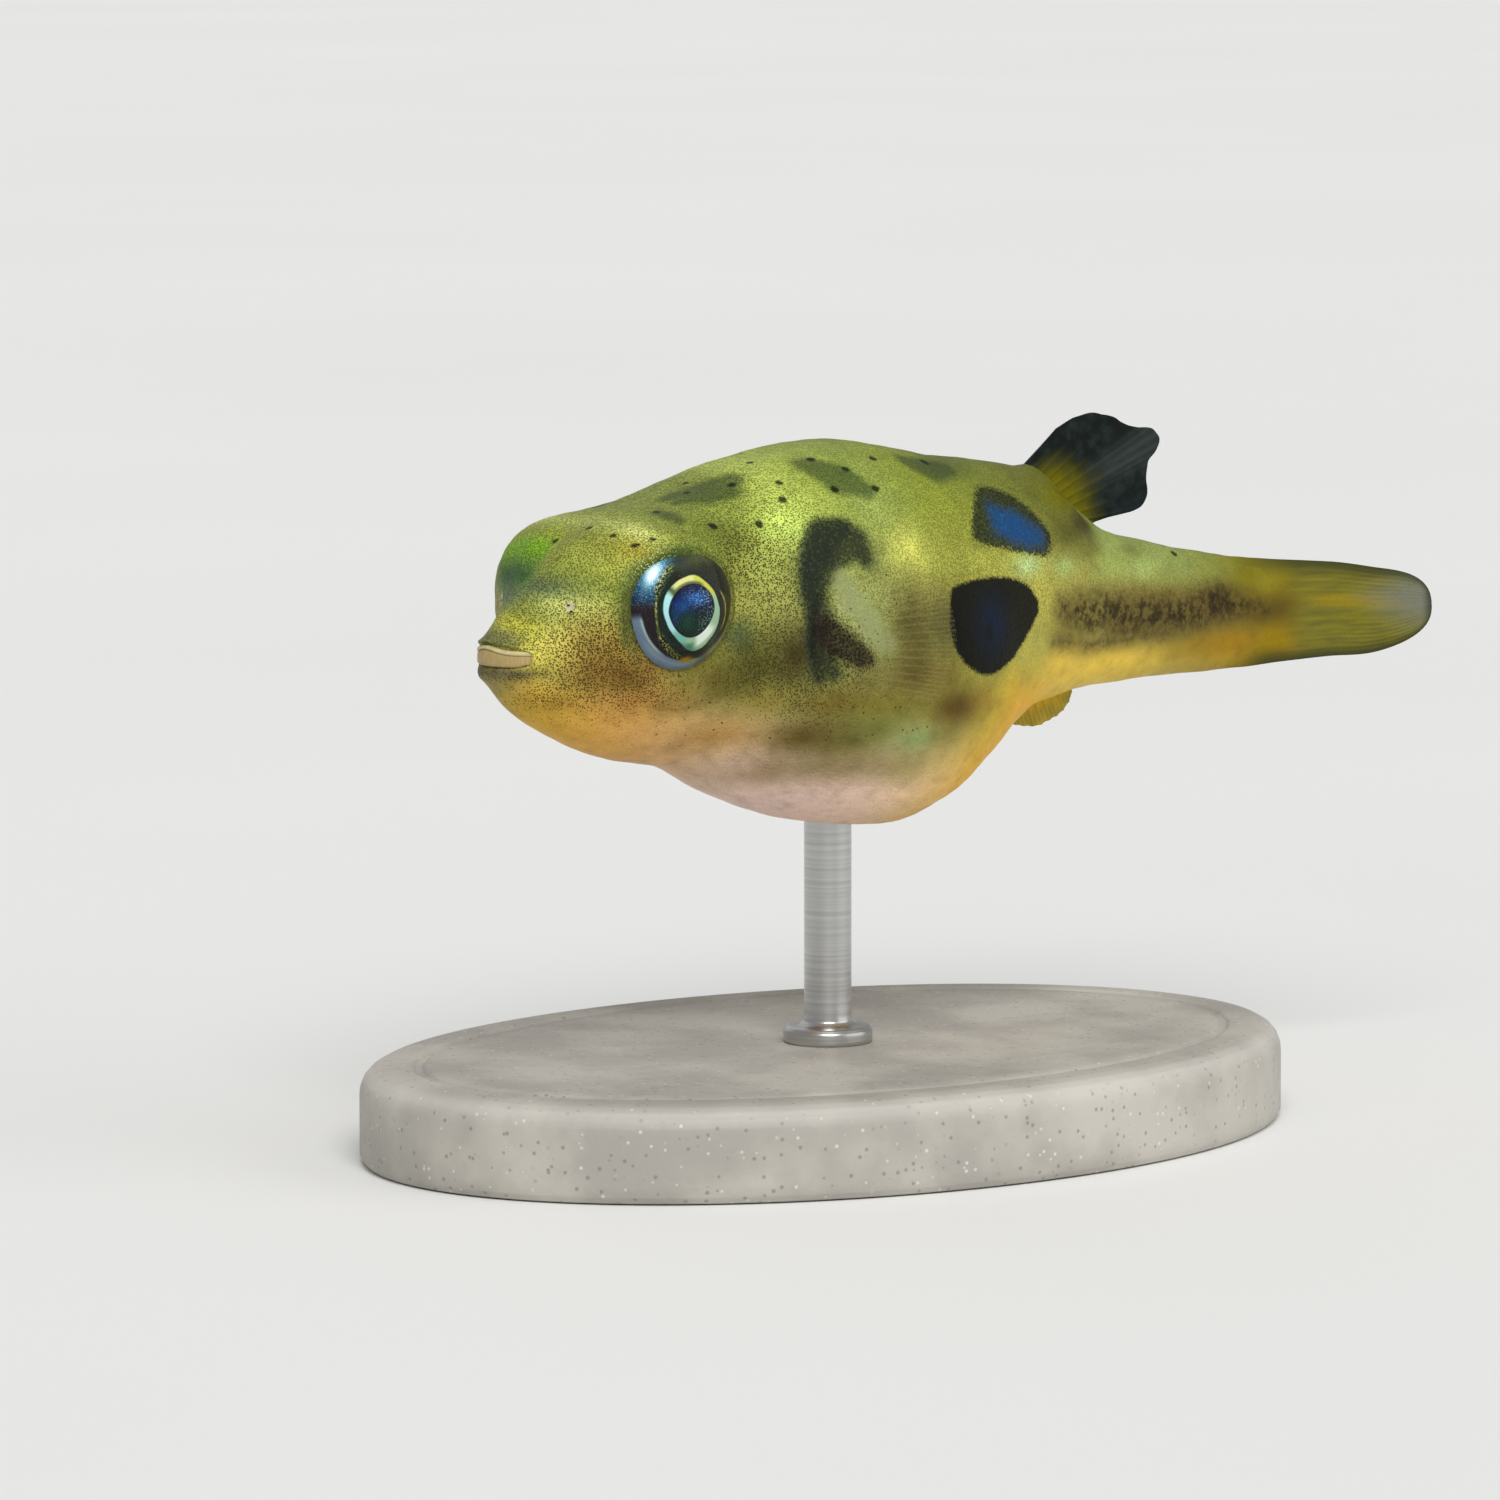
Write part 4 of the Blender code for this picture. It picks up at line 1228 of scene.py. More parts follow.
    def _socketed(self, points: Array) -> Array:
        """Draw the skin in under each eyeball, within the opening of its lids.

        Inside the opening a point moves along its line from the eye's centre to socket_depth of the
        ball, with an eased step socket_blend degrees wide; just outside, a low fold rises.

        Args:
            points: Points of the skin.

        Returns:
            The moved points.
        """
        for side in Side:
            centre = side.of(self.seat.centre)
            reach, tilt, edge = self.seat.polar(points, side)
            inside = ease(tilt - edge, 0, -self.socket_blend) * (points[..., 1] * side.value > 0.6)
            wanted = reach * (1 - inside) + np.minimum(reach, self.socket_depth) * inside
            fold = .03 * bell(tilt - edge - 5, 4) * (reach < 1.5)
            points = centre + (points - centre) * ((wanted + fold) / reach)[..., None]
        return points

    @staticmethod
    def _gap(points: Array, place: Spot) -> Array:
        """The distance to the skin's point nearest a place, or to its mirror image if that is nearer."""
        return Stroke(((*place, 0),)).distance(points)

    def _height_share(self, points: Array) -> Array:
        """How high a point lies between belly (-1), waist (0) and back (1).

        Args:
            points: Points of the skin.

        Returns:
            The share at each point.
        """
        x = points[..., 0]
        waist = self.body.waist.at(x)
        up = (points[..., 2] - waist) / np.maximum(self.body.back.at(x) - waist, .2)
        down = (points[..., 2] - waist) / np.maximum(waist - self.body.belly.at(x), .2)
        return np.clip(np.where(points[..., 2] > waist, up, down), -1.2, 1.2)

    def _rims(self, points: Array, smooth: Array) -> dict[str, Array]:
        """Fields round the openings: the lids' painted shade and glints, nostrils and pores, and the mouth's
        pocket, which is painted in shade.

        Args:
            points: Points of the skin.
            smooth: The same points before the relief.

        Returns:
            The fields by name.
        """
        shade, edge_shade, glint = (np.zeros(points.shape[:-1]) for _ in range(3))
        for side in Side:
            reach, tilt, edge = self.seat.polar(smooth, side)
            outside = np.maximum(tilt - edge, 0) / DEGREES * self.seat.ball[0]
            outside = outside + 3 * np.maximum(reach - 1.15, 0)
            offset = smooth - side.of(self.seat.centre)
            around = np.hypot(offset[..., 0], offset[..., 2]) + 1e-9
            ahead, up = -offset[..., 0] / around, offset[..., 2] / around
            near = points[..., 1] * side.value > 0.6
            # Painted shade round the lids, weighted towards the eye's front and top.
            where = (.15 + .85 * ease(.9 * ahead + .45 * up, -.1, .8)) * ease(up, -.95, -.45) * near
            shade = np.maximum(shade, bell(outside, .2) * where)
            edge_shade = np.maximum(edge_shade, bell(outside, .05) * where)
            # Painted glints lie just outside the lids, above the front of the eye.
            glint = np.maximum(glint, bell(outside, .22) * bell(np.hypot(ahead - .66, up - .75), .42) * near)
        row = np.arange(len(points))[:, None] + 0 * shade
        return {"lid_shade": shade, "lid_edge_shade": edge_shade, "glint": glint,
                "nostril": self._gap(points, self.nostril),
                "pore": np.min([self._gap(points, pore) for pore in self.pores], axis=0),
                # The mouth's painted shade, darkest deep in the pocket.
                "mouth_shade": ease(row / (self.mouth_rows - 1), .5, .25)}


# ---- eyes ----

@dataclass(frozen=True)
class IrisFinish:
    """The painted ball of the eye: colours laid at its points, broken up by grain, beads and sparkles, partly
    painted glints.
    """

    grain_size: float = .05
    bead_size: float = .048
    sparkle_size: float = .034
    dark: Rgb = (8, 12, 8)
    bead: Rgb = (196, 198, 84)
    # Pale sparkle tone, laid as painted glints in the pupil and painted gleam on the ball.
    spark: Rgb = (196, 234, 244)
    ring_green: Rgb = (60, 96, 76)

    def make(self) -> Material:
        """Build the material.

        Returns:
            The finish of the ball, its ring and its pupil.
        """
        paint = Paint("iris")
        where = paint.spot()
        fine = paint.noise(where, self.grain_size, 3, .6)
        bead, _ = paint.cells(where, self.bead_size, .8)
        flash, lots = paint.cells(where, self.sparkle_size, 1)
        sparkles_and_painted_glints = flash.rise(.46, .18) * paint.channel(lots).rise(.5, .62)
        ring = paint.coats(paint.colour_field("ring_tone"), (self.ring_green, fine.rise(.56, .74) * .22))
        pupil = paint.coats(paint.colour_field("pupil_tone"), (self.dark, fine.rise(.5, .3) * .45),
                            # Painted glints in the pupil, where its twinkle field says.
                            (self.spark, sparkles_and_painted_glints * paint.field("twinkle")))
        base = paint.coats(
            paint.colour_field("ball_tone"),
            (self.dark, fine.rise(.54, .3) * paint.field("grain") * .8),
            (self.dark, bead.rise(.34, .6) * paint.field("beads") * .8),
            (self.bead, bead.rise(.48, .26) * paint.field("beads")),
            # Sparkles on the ball: painted gleam at its upper front and its own flecks along the rim.
            (self.spark, sparkles_and_painted_glints * paint.field("sparkles_and_painted_glints")),
            (ring, (paint.field("ring") + (fine - .5) * .035).rise(.018, -.018)),
            (pupil, paint.field("pupil").rise(.016, -.016)))
        return paint.finish({"Base Color": base, "Roughness": .35, "Specular IOR Level": .12,
                             "Normal": paint.relief(fine, .01)})


@dataclass(frozen=True)
class CorneaFinish:
    """The clear wet front of the eye: see-through, mirroring more towards its edge."""

    bend: float = 1.3
    shine: float = .6

    def make(self) -> Material:
        """Build the material: transparent mixed with a mirror by Fresnel.

        Returns:
            The see-through finish.
        """
        paint = Paint("cornea")
        edge = paint.node("ShaderNodeFresnel", {}, {"IOR": self.bend}).outputs[0]
        mirror = Signal(paint, edge) * self.shine
        clear = paint.node("ShaderNodeBsdfTransparent").outputs[0]
        gloss = paint.node("ShaderNodeBsdfGlossy", {}, {"Roughness": .06}).outputs[0]
        both = paint.node("ShaderNodeMixShader", {}, {0: mirror, 1: clear, 2: gloss}).outputs[0]
        paint.node("ShaderNodeOutputMaterial", {}, {"Surface": both})
        return paint.material


@dataclass
class Eye:
    """One eye: the painted ball and the clear dome over it; u runs rearward from its centre, v up."""

    side: Side
    seat: EyeSeat = field(default_factory=EyeSeat)
    iris: Spot = (1.735, 1.04, 1.735)
    pupil: tuple[float, float, float, float] = (-.09, -.14, .69, .67)
    ring_middle: tuple[float, float] = (-.05, -.17)
    ring: Line = Line((
        (0, .84), (20, .785), (40, .785), (60, .8), (77, .86), (88, .9), (108, .89), (127, .9), (146, .91),
        (171, .87), (198, .79), (225, .765), (249, .82), (268, .95), (280, 1), (292, 1), (309, .94),
        (324, .915), (343, .875), (360, .84)))
    thread: Line = Line((
        (-95, 1.42), (-79, 1.37), (-65, 1.306), (-52, 1.24), (-41, 1.197), (-27, 1.131), (-9, 1.082),
        (10, 1.075), (26, 1.105), (52, 1.125), (75, 1.13)))
    rear_arc: Line = Line(((-42, 1.16), (-31, 1.144), (-16, 1.092), (-4, 1.032), (16, .893), (24, .86)))

    def dress(self, place: Placement, iris: Material, cornea: Material) -> list[Piece]:
        """Build both pieces; together they stand for the eye's node.

        Args:
            place: Where the fish lies.
            iris: The ball's finish.
            cornea: The dome's finish.

        Returns:
            The ball and the dome.
        """
        ball = self._dome(self.iris, 125, 200, 390)
        offset = ball - self.side.of(self.seat.centre)
        u, v = offset[..., 0], offset[..., 2]
        front = offset[..., 1] * self.side.value > -.2
        fields = {name: np.where(front, values, 9 if name in ("pupil", "ring") else 0)
                  for name, values in self._fields(u, v).items()}
        dome = self._dome(self.seat.ball, 100, 110, 200)
        made = [Loft(f"eye_ball_{self.side.word}", ball, fields | self._tones(u, v)).build(place, iris),
                Loft(f"eye_clear_{self.side.word}", dome).build(place, cornea)]
        for piece in made:
            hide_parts(f"eye_{self.side.word}")
            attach(piece, ROOT)
        return made

    def _dome(self, radii: Spot, reach: float, rows: int, around: int) -> Array:
        """Rings round the eye's axis: centre + radii * (sin t cos a, cos t, sin t sin a).

        Args:
            radii: The radii in x, y and z.
            reach: The largest t, in degrees.
            rows: How many rings.
            around: How many points a ring has.

        Returns:
            Rows by count by 3.
        """
        t = np.radians(np.linspace(.6, reach, rows))[:, None]
        a = turns(around)
        unit = joined(np.sin(t) * np.cos(a), np.cos(t) * self.side.value, np.sin(t) * np.sin(a))
        return self.side.of(self.seat.centre) + unit * radii

    def _fields(self, u: Array, v: Array) -> dict[str, Array]:
        """Signed distances of pupil and ring, and where the ball is grainy, beaded or sparkles; the sparkles
        include the painted gleam and the pupil's painted glints.

        Args:
            u: Offsets rearward.
            v: Offsets up.

        Returns:
            The fields by name.
        """
        reach, angle = np.hypot(u, v), np.degrees(np.arctan2(v, -u))
        pu, pv = (u - self.pupil[0]), (v - self.pupil[1])
        narrow = self.pupil[2] * (1 + .16 * np.clip(pv / self.pupil[3], -1.2, 1) * (pv < 0))
        pupil = (np.hypot(pu / narrow, pv / self.pupil[3]) - 1) * self.pupil[3]
        ru, rv = u - self.ring_middle[0], v - self.ring_middle[1]
        ring = np.hypot(ru, rv) - self.ring.at(np.degrees(np.arctan2(rv, ru)) % 360)
        thread = reach - self.thread.at(angle)
        # Painted gleam: a reflection painted on the ball's upper front.
        painted_gleam = bell((angle - 38) / 19, 1) * bell((reach - 1.3) / .17, 1)
        return {
            "pupil": pupil, "ring": ring,
            "grain": (1 - .75 * ease(reach, 1.3, 1.42) * (angle < 0) * (angle > -120)) * (1 - .9 * painted_gleam),
            "beads": bell(thread, .075) * ease(angle, 12, 24) * ease(angle, 66, 54)
            + bell(thread, .024) * ease(angle, 30, 16) * ease(angle, -60, -40)
            + .9 * bell(thread + .03, .06) * ease(angle, -34, -46) * ease(angle, -86, -74),
            # Sparkles: the painted gleam, and the ball's own flecks beyond its thread at the upper front.
            "sparkles_and_painted_glints": painted_gleam + .35 * ease(thread, 0, .05) * ease(angle, -4, 8) * ease(angle, 62, 46),
            # Painted glints in the pupil: a cluster near its top and an arc towards its rear.
            "twinkle": .9 * blot(pu, pv, (.14, .36), (.3, .2))
            + .55 * bell(np.hypot(pu - .15, pv + .05) - .42, .13) * ease(pu, .0, .25)
            + .35 * blot(pu, pv, (.25, -.1), (.25, .3)),
        }

    def _tones(self, u: Array, v: Array) -> dict[str, Array]:
        """The colours of the ball, of its ring and of its pupil, with a painted gleam and highlight on the
        ball's upper front.

        Args:
            u: Offsets rearward.
            v: Offsets up.

        Returns:
            Linear colours by name.
        """
        reach, angle = np.hypot(u, v), np.degrees(np.arctan2(v, -u))
        rear = np.degrees(np.arctan2(v, u))
        thread = reach - self.thread.at(angle)
        outer = ease(thread, .0, .05)
        # Painted highlight and gleam: a near-white spot and a wider cyan sheen on the ball's upper front.
        painted_highlight = bell((angle - 37) / 13, 1) * bell((reach - 1.33) / .12, 1)
        painted_gleam = bell((angle - 38) / 23, 1) * bell((reach - 1.32) / .21, 1)
        ball = layered((26, 32, 18), [
            ((84, 92, 42), ease(v, .72, 1.1) * .75),
            ((44, 54, 50), blot(u, v, (-.36, 1.1), (.26, .2)) * .9),
            ((62, 66, 34), ease(u, .7, 1.2) * .8),
            ((74, 88, 62), blot(u, v, (.85, -1.05), (.4, .3)) * .8),
            ((166, 160, 120), ease(reach, 1.26, 1.4) * ease(rear, -78, -55) * ease(rear, 62, 36) * .85),
            ((34, 30, 14),
             bell(np.hypot(u, v + .1) - 1.05, .12) * ease(rear, 2, 16) * ease(rear, 84, 66) * .9),
            ((192, 172, 84),
             bell(reach - self.rear_arc.at(rear), .03) * ease(rear, -44, -28) * ease(rear, 24, 14)),
            ((8, 34, 26),
             ease(thread, .0, -.05) * ease(angle, 40, 20) * ease(angle, -80, -60) * (reach > .7) * .8),
            ((18, 46, 78), outer * ease(angle, -6, 6) * ease(angle, 70, 54)),
            ((30, 18, 26), outer * ease(angle, 10, -4) * ease(angle, -70, -56)),
            # Painted reflection: the cyan gleam, then the near-white highlight.
            ((58, 156, 186), painted_gleam * 1.1),
            ((232, 246, 250), painted_highlight * 1.25),
            ((112, 134, 156), ease(reach, 1.37, 1.42) * ease(angle, -4, -14) * ease(angle, -124, -100)),
            ((178, 206, 190), bell(reach - 1.405, .026) * ease(angle, -9, -15) * ease(angle, -66, -46) * .9),
            ((150, 162, 176), bell(reach - 1.5, .05) * ease(angle, -28, -45) * ease(angle, -110, -90) * .6),
            ((196, 196, 112), bell(thread, .02) * ease(angle, 20, 10) * ease(angle, -56, -36) * .8),
            ((168, 128, 16), blot(u, v, (-.04, -1.37), (.17, .07)) * 1.2),
            ((150, 146, 50), blot(u, v, (.2, -1.42), (.16, .06))),
        ])
        turn = np.degrees(np.arctan2(v - self.ring_middle[1], u - self.ring_middle[0])) % 360
        depth = self._fields(u, v)["pupil"]
        ring = layered((164, 200, 160), [
            ((174, 228, 230), ease(turn, 138, 152) * ease(turn, 236, 214)),
            ((124, 196, 178), ease(turn, 212, 236) * ease(turn, 264, 250)),
            ((74, 132, 104), bell((turn - 268) / 15, 1) * ease(depth, .08, .22)),
            ((244, 255, 238), ease(turn, 272, 288) * ease(turn, 338, 316) * ease(depth, .34, .22)),
            ((222, 220, 140), ease(turn, 84, 92) * ease(turn, 138, 126)),
            ((202, 204, 74), ease(turn, 22, 40) * ease(turn, 92, 84)),
            ((54, 70, 48), bell((turn - 139) / 5, 1) * .8),
            ((92, 102, 52), ease(turn, 60, 76) * ease(turn, 150, 138) * ease(depth, .085, .03) * .9),
        ])
        pu, pv = (u - self.pupil[0]), (v - self.pupil[1])
        pupil = layered((8, 16, 56), [
            ((6, 34, 24), ease(pv, .16, -.2)),
            ((16, 96, 172), blot(pu, pv, (.1, .3), (.36, .17))),
            ((12, 70, 132), blot(pu, pv, (-.32, .12), (.26, .2)) * .9),
            ((10, 56, 104), blot(pu, pv, (-.5, -.12), (.12, .28)) * .9),
            ((8, 66, 46), blot(pu, pv, (-.16, -.3), (.2, .22)) * .8),
            ((4, 14, 16), ease(depth, -.1, .0) * .6),
        ])
        return {"ball_tone": ball, "ring_tone": ring, "pupil_tone": pupil}


# ---- beak ----

@dataclass(frozen=True)
class BeakFinish:
    """Pale horn with fine upright streaks, darker towards the line where the two halves meet."""

    upper: Rgb = (200, 190, 138)
    lower: Rgb = (166, 142, 94)
    stain: Rgb = (150, 140, 84)
    pale: Rgb = (214, 204, 164)
    seam: Rgb = (128, 106, 66)

    def make(self) -> Material:
        """Build the material.

        Returns:
            The horn finish of both halves.
        """
        paint = Paint("beak")
        where = paint.spot()
        streak = paint.noise(paint.stretched(where, (1, 3.2, .35)), .1, 3)
        base = paint.coats(
            self.lower,
            (self.upper, paint.field("upper")),
            (self.stain, paint.noise(where, .3, 3).rise(.4, .72) * .5),
            (self.pale, streak.rise(.52, .74) * .35),
            (self.seam, paint.field("edge") * .5))
        return paint.finish({"Base Color": base, "Roughness": .38, "Normal": paint.relief(streak, .008),
                             "Subsurface Weight": .1, "Subsurface Radius": (1, .7, .4),
                             "Subsurface Scale": .00015, "Specular IOR Level": .25})


@dataclass
class Beak:
    """One half of the beak: a rounded strip of horn that follows the lips round the snout."""

    upper: bool
    half_width: float = 1.04
    curve: float = .58
    face: float = -.035
    depth: float = .28
    seam: Spot = (-.05, .14, .45)
    top: Spot = (.065, .11, .4)
    bottom: float = -.345
    rows: int = 90
    around: int = 48

    def dress(self, place: Placement, horn: Material) -> Piece:
        """Build the strip and let it stand for its node.

        Args:
            place: Where the fish lies.
            horn: Its finish.

        Returns:
            The strip.
        """
        name = "beak_upper" if self.upper else "beak_lower"
        across = np.sin(np.linspace(-1, 1, self.rows) * math.pi / 2)[:, None] * self.half_width
        turn = turns(self.around)
        end = (1 - np.abs(across / self.half_width) ** 14) ** .5
        seam = self.seam[0] + self.seam[1] * bell(across, self.seam[2])
        top = self.top[0] + self.top[1] * bell(across, self.top[2])
        bottom = self.bottom + .07 * ease(np.abs(across), .7, 1.04)
        low, high = (seam - .015, top) if self.upper else (bottom, seam + .01)
        middle, half = (low + high) / 2, (high - low) / 2 * (.55 + .45 * end)
        z = middle + half * round_power(np.sin(turn), 5)
        x = self.face + self.depth / 2 + self.curve * across**2 - self.depth / 2 * round_power(
            np.cos(turn), 2.6) * end
        rings = joined(x, across, z)
        fields = {"upper": np.full(z.shape, float(self.upper)), "edge": bell(z - seam, .03)}
        made = Loft(f"{name}_horn", rings, fields).build(place, horn)
        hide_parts(name)
        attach(made, ROOT)
        return made


# ---- fins ----

class FinKind(Enum):
    """Which finish a fin wears."""

    DORSAL = "dorsal"
    ANAL = "anal"
    TAIL = "tail"
    CLEAR = "clear"


@dataclass(frozen=True)
class Membrane:
    """What a fin's colours hang on: its rays, how far out and how far along, broad and fine noise."""

    paint: Paint
    ray: Signal
    reach: Signal
    place: Signal
    soft: Signal
    fine: Signal


@dataclass(frozen=True)
class FinFinish:
    """Thin fin skin stretched over soft rays, in one of four colourings."""

    kind: FinKind

    def make(self) -> Material:
        """Build the material.

        Returns:
            The finish of the kind of fin asked for.
        """
        paint = Paint(f"fin_{self.kind.value}")
        where = paint.spot()
        fin = Membrane(paint, *(paint.field(name) for name in ("ray", "reach", "place")),
                       paint.noise(where, .35, 3), paint.noise(where, .08, 3))
        build = {FinKind.DORSAL: self._dorsal, FinKind.ANAL: self._anal, FinKind.TAIL: self._tail,
                 FinKind.CLEAR: self._clear}[self.kind]
        inputs = {"Base Color": build(fin), "Roughness": fin.fine * .18 + .42, "Specular IOR Level": .05,
                  "Normal": paint.relief(fin.fine, .012)}
        if self.kind is FinKind.CLEAR:
            inputs["Alpha"] = (fin.ray * .05 + .015 + fin.reach.rise(.16, .0) * .12).high(.01)
        return paint.finish(inputs)

    @staticmethod
    def _dorsal(fin: Membrane) -> Coat:
        """Near black with a grey band of rays and a yellow root streaked by dark rays.

        Args:
            fin: The fin's numbers.

        Returns:
            Its colour.
        """
        grey = abs(fin.place - .52).rise(.17, .02) * fin.reach.rise(.22, .6)
        lower = abs(fin.place - .84).rise(.14, .02) * fin.reach.rise(.45, .8)
        root = (fin.reach + (fin.soft - .5) * .2 + (1 - fin.ray) * .05).rise(.56, .14)
        low_root = (fin.reach + (fin.soft - .5) * .16).rise(.36, .08)
        return fin.paint.coats(
            (18, 24, 22),
            ((36, 45, 42), fin.soft.rise(.4, .75) * .8),
            ((54, 61, 60), grey * (fin.ray * .35 + .5)),
            ((26, 36, 40), lower * .6),
            ((80, 78, 6), root * fin.place.rise(.0, .2) * .9),
            ((108, 100, 6), low_root * fin.place.rise(.12, .35) * fin.place.rise(1, .7) * .8),
            ((24, 22, 10), fin.reach.rise(.1, .0) * fin.place.rise(.7, .95) * .8))

    @staticmethod
    def _anal(fin: Membrane) -> Coat:
        """Olive yellow, golden at the root."""
        return fin.paint.coats((176, 154, 60), ((150, 134, 52), fin.soft.rise(.4, .75)),
                               ((216, 168, 44), fin.reach.rise(.8, .15) * .85),
                               ((160, 148, 60), fin.ray * .25))

    @staticmethod
    def _tail(fin: Membrane) -> Coat:
        """Olive yellow streaked along its rays, greyer at the rim, with the skin's own tone at its root.

        Args:
            fin: The fin's numbers.

        Returns:
            Its colour.
        """
        paint, reach = fin.paint, fin.reach
        long = paint.stretched(paint.spot(), (.16, 1, 1.4))
        streak = abs(fin.place - .6).rise(.12, .02) * reach.rise(.25, .5) * reach.rise(.95, .7)
        root = (reach + (fin.soft - .5) * .05).rise(.36, .2)
        band = (abs(fin.place - .54) + (fin.soft - .5) * .22).rise(.18, .02) * reach.rise(.46, .0)
        tip = (reach + abs(fin.place - .66) * -.5).rise(.5, .9)
        rim = abs(fin.place - .5).rise(.32, .5) * reach.rise(-.15, .35)
        return paint.coats(
            (114, 109, 35),
            ((97, 94, 38), paint.noise(long, .22, 2).rise(.34, .72)),
            ((132, 122, 36), fin.ray * .25),
            ((146, 126, 22), streak * .65),
            (paint.colour_field("tone"), root),
            ((84, 70, 32), band * .45),
            ((112, 116, 108), tip * .8),
            ((44, 50, 32), rim * .85),
            ((44, 50, 36), reach.rise(.93, 1) * .85),
            ((84, 80, 34), (1 - fin.ray) * fin.fine.rise(.42, .62) * .18))

    @staticmethod
    def _clear(fin: Membrane) -> Coat:
        """Glassy pale straw, whiter on the rays."""
        return fin.paint.coats((150, 140, 84), ((186, 176, 116), fin.ray * .8),
                               ((138, 138, 90), fin.reach.rise(.25, .0) * .7))


@dataclass(frozen=True)
class RayPlan:
    """How a fin's rays thicken it.

    Attributes:
        rays: How many rays leave the root.
        thickness: Half the membrane's thickness at the root and at the rim.
        ridge: How far a ray stands out on each face at the root.
        scallop: How far the rim reaches out at the end of a ray.
        sway: How far the fin's face waves to either side at the rim.
    """

    rays: int
    thickness: tuple[float, float]
    ridge: float
    scallop: float
    sway: float

    def ridges(self, place: Array, reach: Array) -> Array:
        """The rays' height: |cos(rays pi place)|^6, which splits in two past the middle.

        Args:
            place: How far along the root, 0 to 1.
            reach: How far out, 0 to 1.

        Returns:
            The height, 0 to 1.
        """
        whole = np.abs(np.cos(self.rays * math.pi * place)) ** 6
        split = np.abs(np.cos(2 * self.rays * math.pi * place)) ** 4
        share = ease(reach, .45, .75)
        return whole * (1 - share) + split * share


@dataclass
class FanFin:
    """A fin spread between a root line and a rim line, both given as points (n by 3).

    A point at place p along the lines and reach r from the root is
    root(p) (1 - r) + rim(p) r, moved to either side by half the thickness there.
    """

    name: str
    node: str
    slot_name: str
    roots: Array
    rims: Array
    across: Spot
    plan: RayPlan
    rows: int = 150
    steps: int = 56

    def dress(self, place: Placement, material: Material) -> Piece:
        """Build the fin and let it stand for its node.

        Args:
            place: Where the fish lies.
            material: Its finish.

        Returns:
            The fin.
        """
        along = np.linspace(0, 1, self.rows)[:, None]
        loop = np.linspace(0, 1, 2 * self.steps, endpoint=False)[None, :]
        reach = 1 - np.abs(1 - 2 * loop)
        reach = 1 - (1 - reach) ** 1.35
        face = np.where(loop < .5, 1, -1)
        root, rim = (self._along(points, along[:, 0])[:, None, :] for points in (self.roots, self.rims))
        ridge = self.plan.ridges(along, reach)
        rim = rim + (rim - root) / np.linalg.norm(rim - root, axis=-1, keepdims=True) * (
            self.plan.scallop * (np.abs(np.cos(self.plan.rays * math.pi * along)) - .5))[..., None]
        middle = root * (1 - reach[..., None]) + rim * reach[..., None]
        half = self.plan.thickness[0] * (1 - reach) + self.plan.thickness[1] * reach
        half = half + self.plan.ridge * ridge * (1 - .65 * reach)
        half = half * np.sqrt(np.clip(1 - (np.clip((reach - .97) / .03, 0, 1)) ** 2, .02, 1))
        half = half * np.sqrt(np.clip(1 - (np.clip((np.abs(2 * along - 1) - .98) / .02, 0, 1)) ** 2, .02, 1))
        sway = self.plan.sway * reach**2 * np.sin(2 * math.pi * (1.15 * along + .15))
        points = middle + (half * face + sway)[..., None] * self.across
        fields = {"ray": ridge, "reach": reach + 0 * along, "place": along + 0 * reach}
        made = Loft(self.name, points, fields).build(place, material)
        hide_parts(self.node)
        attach(made, ROOT)
        return made

    @staticmethod
    def _along(points: Array, share: Array) -> Array:
        """Points at even shares of length along a smooth line through the given ones."""
        length = np.concatenate([[0], np.cumsum(np.linalg.norm(np.diff(points, axis=0), axis=1))])
        return np.stack([Line(tuple(zip(length, column))).at(share * length[-1]) for column in points.T], -1)


@dataclass
class MiddleFins:
    """The dorsal and anal fins, on the fish's middle line."""

    body: Body = field(default_factory=Body)
    sink: float = .22
    dorsal_root: tuple[float, float] = (16.7, 18.88)
    dorsal_rim: tuple[tuple[float, float], ...] = (
        (18.1, 4.56), (18.74, 4.82), (19.24, 4.91), (19.94, 4.77), (20.44, 4.52), (21.15, 4.42),
        (21.4, 4.14), (21.3, 3.86), (21.02, 3.52), (21.02, 3.1), (21.09, 2.71), (20.92, 2.42), (20.5, 2.28),
        (20, 2.32), (19.65, 2.38))
    anal_root: tuple[float, float] = (16.15, 18.42)
    anal_rim: tuple[tuple[float, float], ...] = (
        (16.45, -2.88), (16.82, -3), (17.32, -3.05), (17.75, -2.93), (18.2, -2.75), (18.5, -2.45),
        (18.57, -2.26))

    def dress(self, place: Placement) -> list[Piece]:
        """Build both fins, rooted a little under the back and the belly.

        Args:
            place: Where the fish lies.

        Returns:
            The dorsal and the anal fin.
        """
        made = []
        for node, root, rim, line, sink, kind, plan in (
                ("fin_dorsal", self.dorsal_root, self.dorsal_rim, self.body.back, -self.sink, FinKind.DORSAL,
                 RayPlan(11, (.13, .045), .034, .03, .1)),
                ("fin_anal", self.anal_root, self.anal_rim, self.body.belly, self.sink, FinKind.ANAL,
                 RayPlan(9, (.13, .045), .06, .03, .04))):
            x = np.linspace(*root, 24)
            roots = joined(x, 0, line.at(x) + sink)
            edge = np.array(rim)
            rims = joined(edge[:, 0], 0, edge[:, 1])
            slot = "fin_dark" if kind is FinKind.DORSAL else "fin_olive"
            fin = FanFin(f"{node}_rays", node, slot, roots, rims, (0, 1, 0), plan)
            made.append(fin.dress(place, FinFinish(kind).make()))
        return made


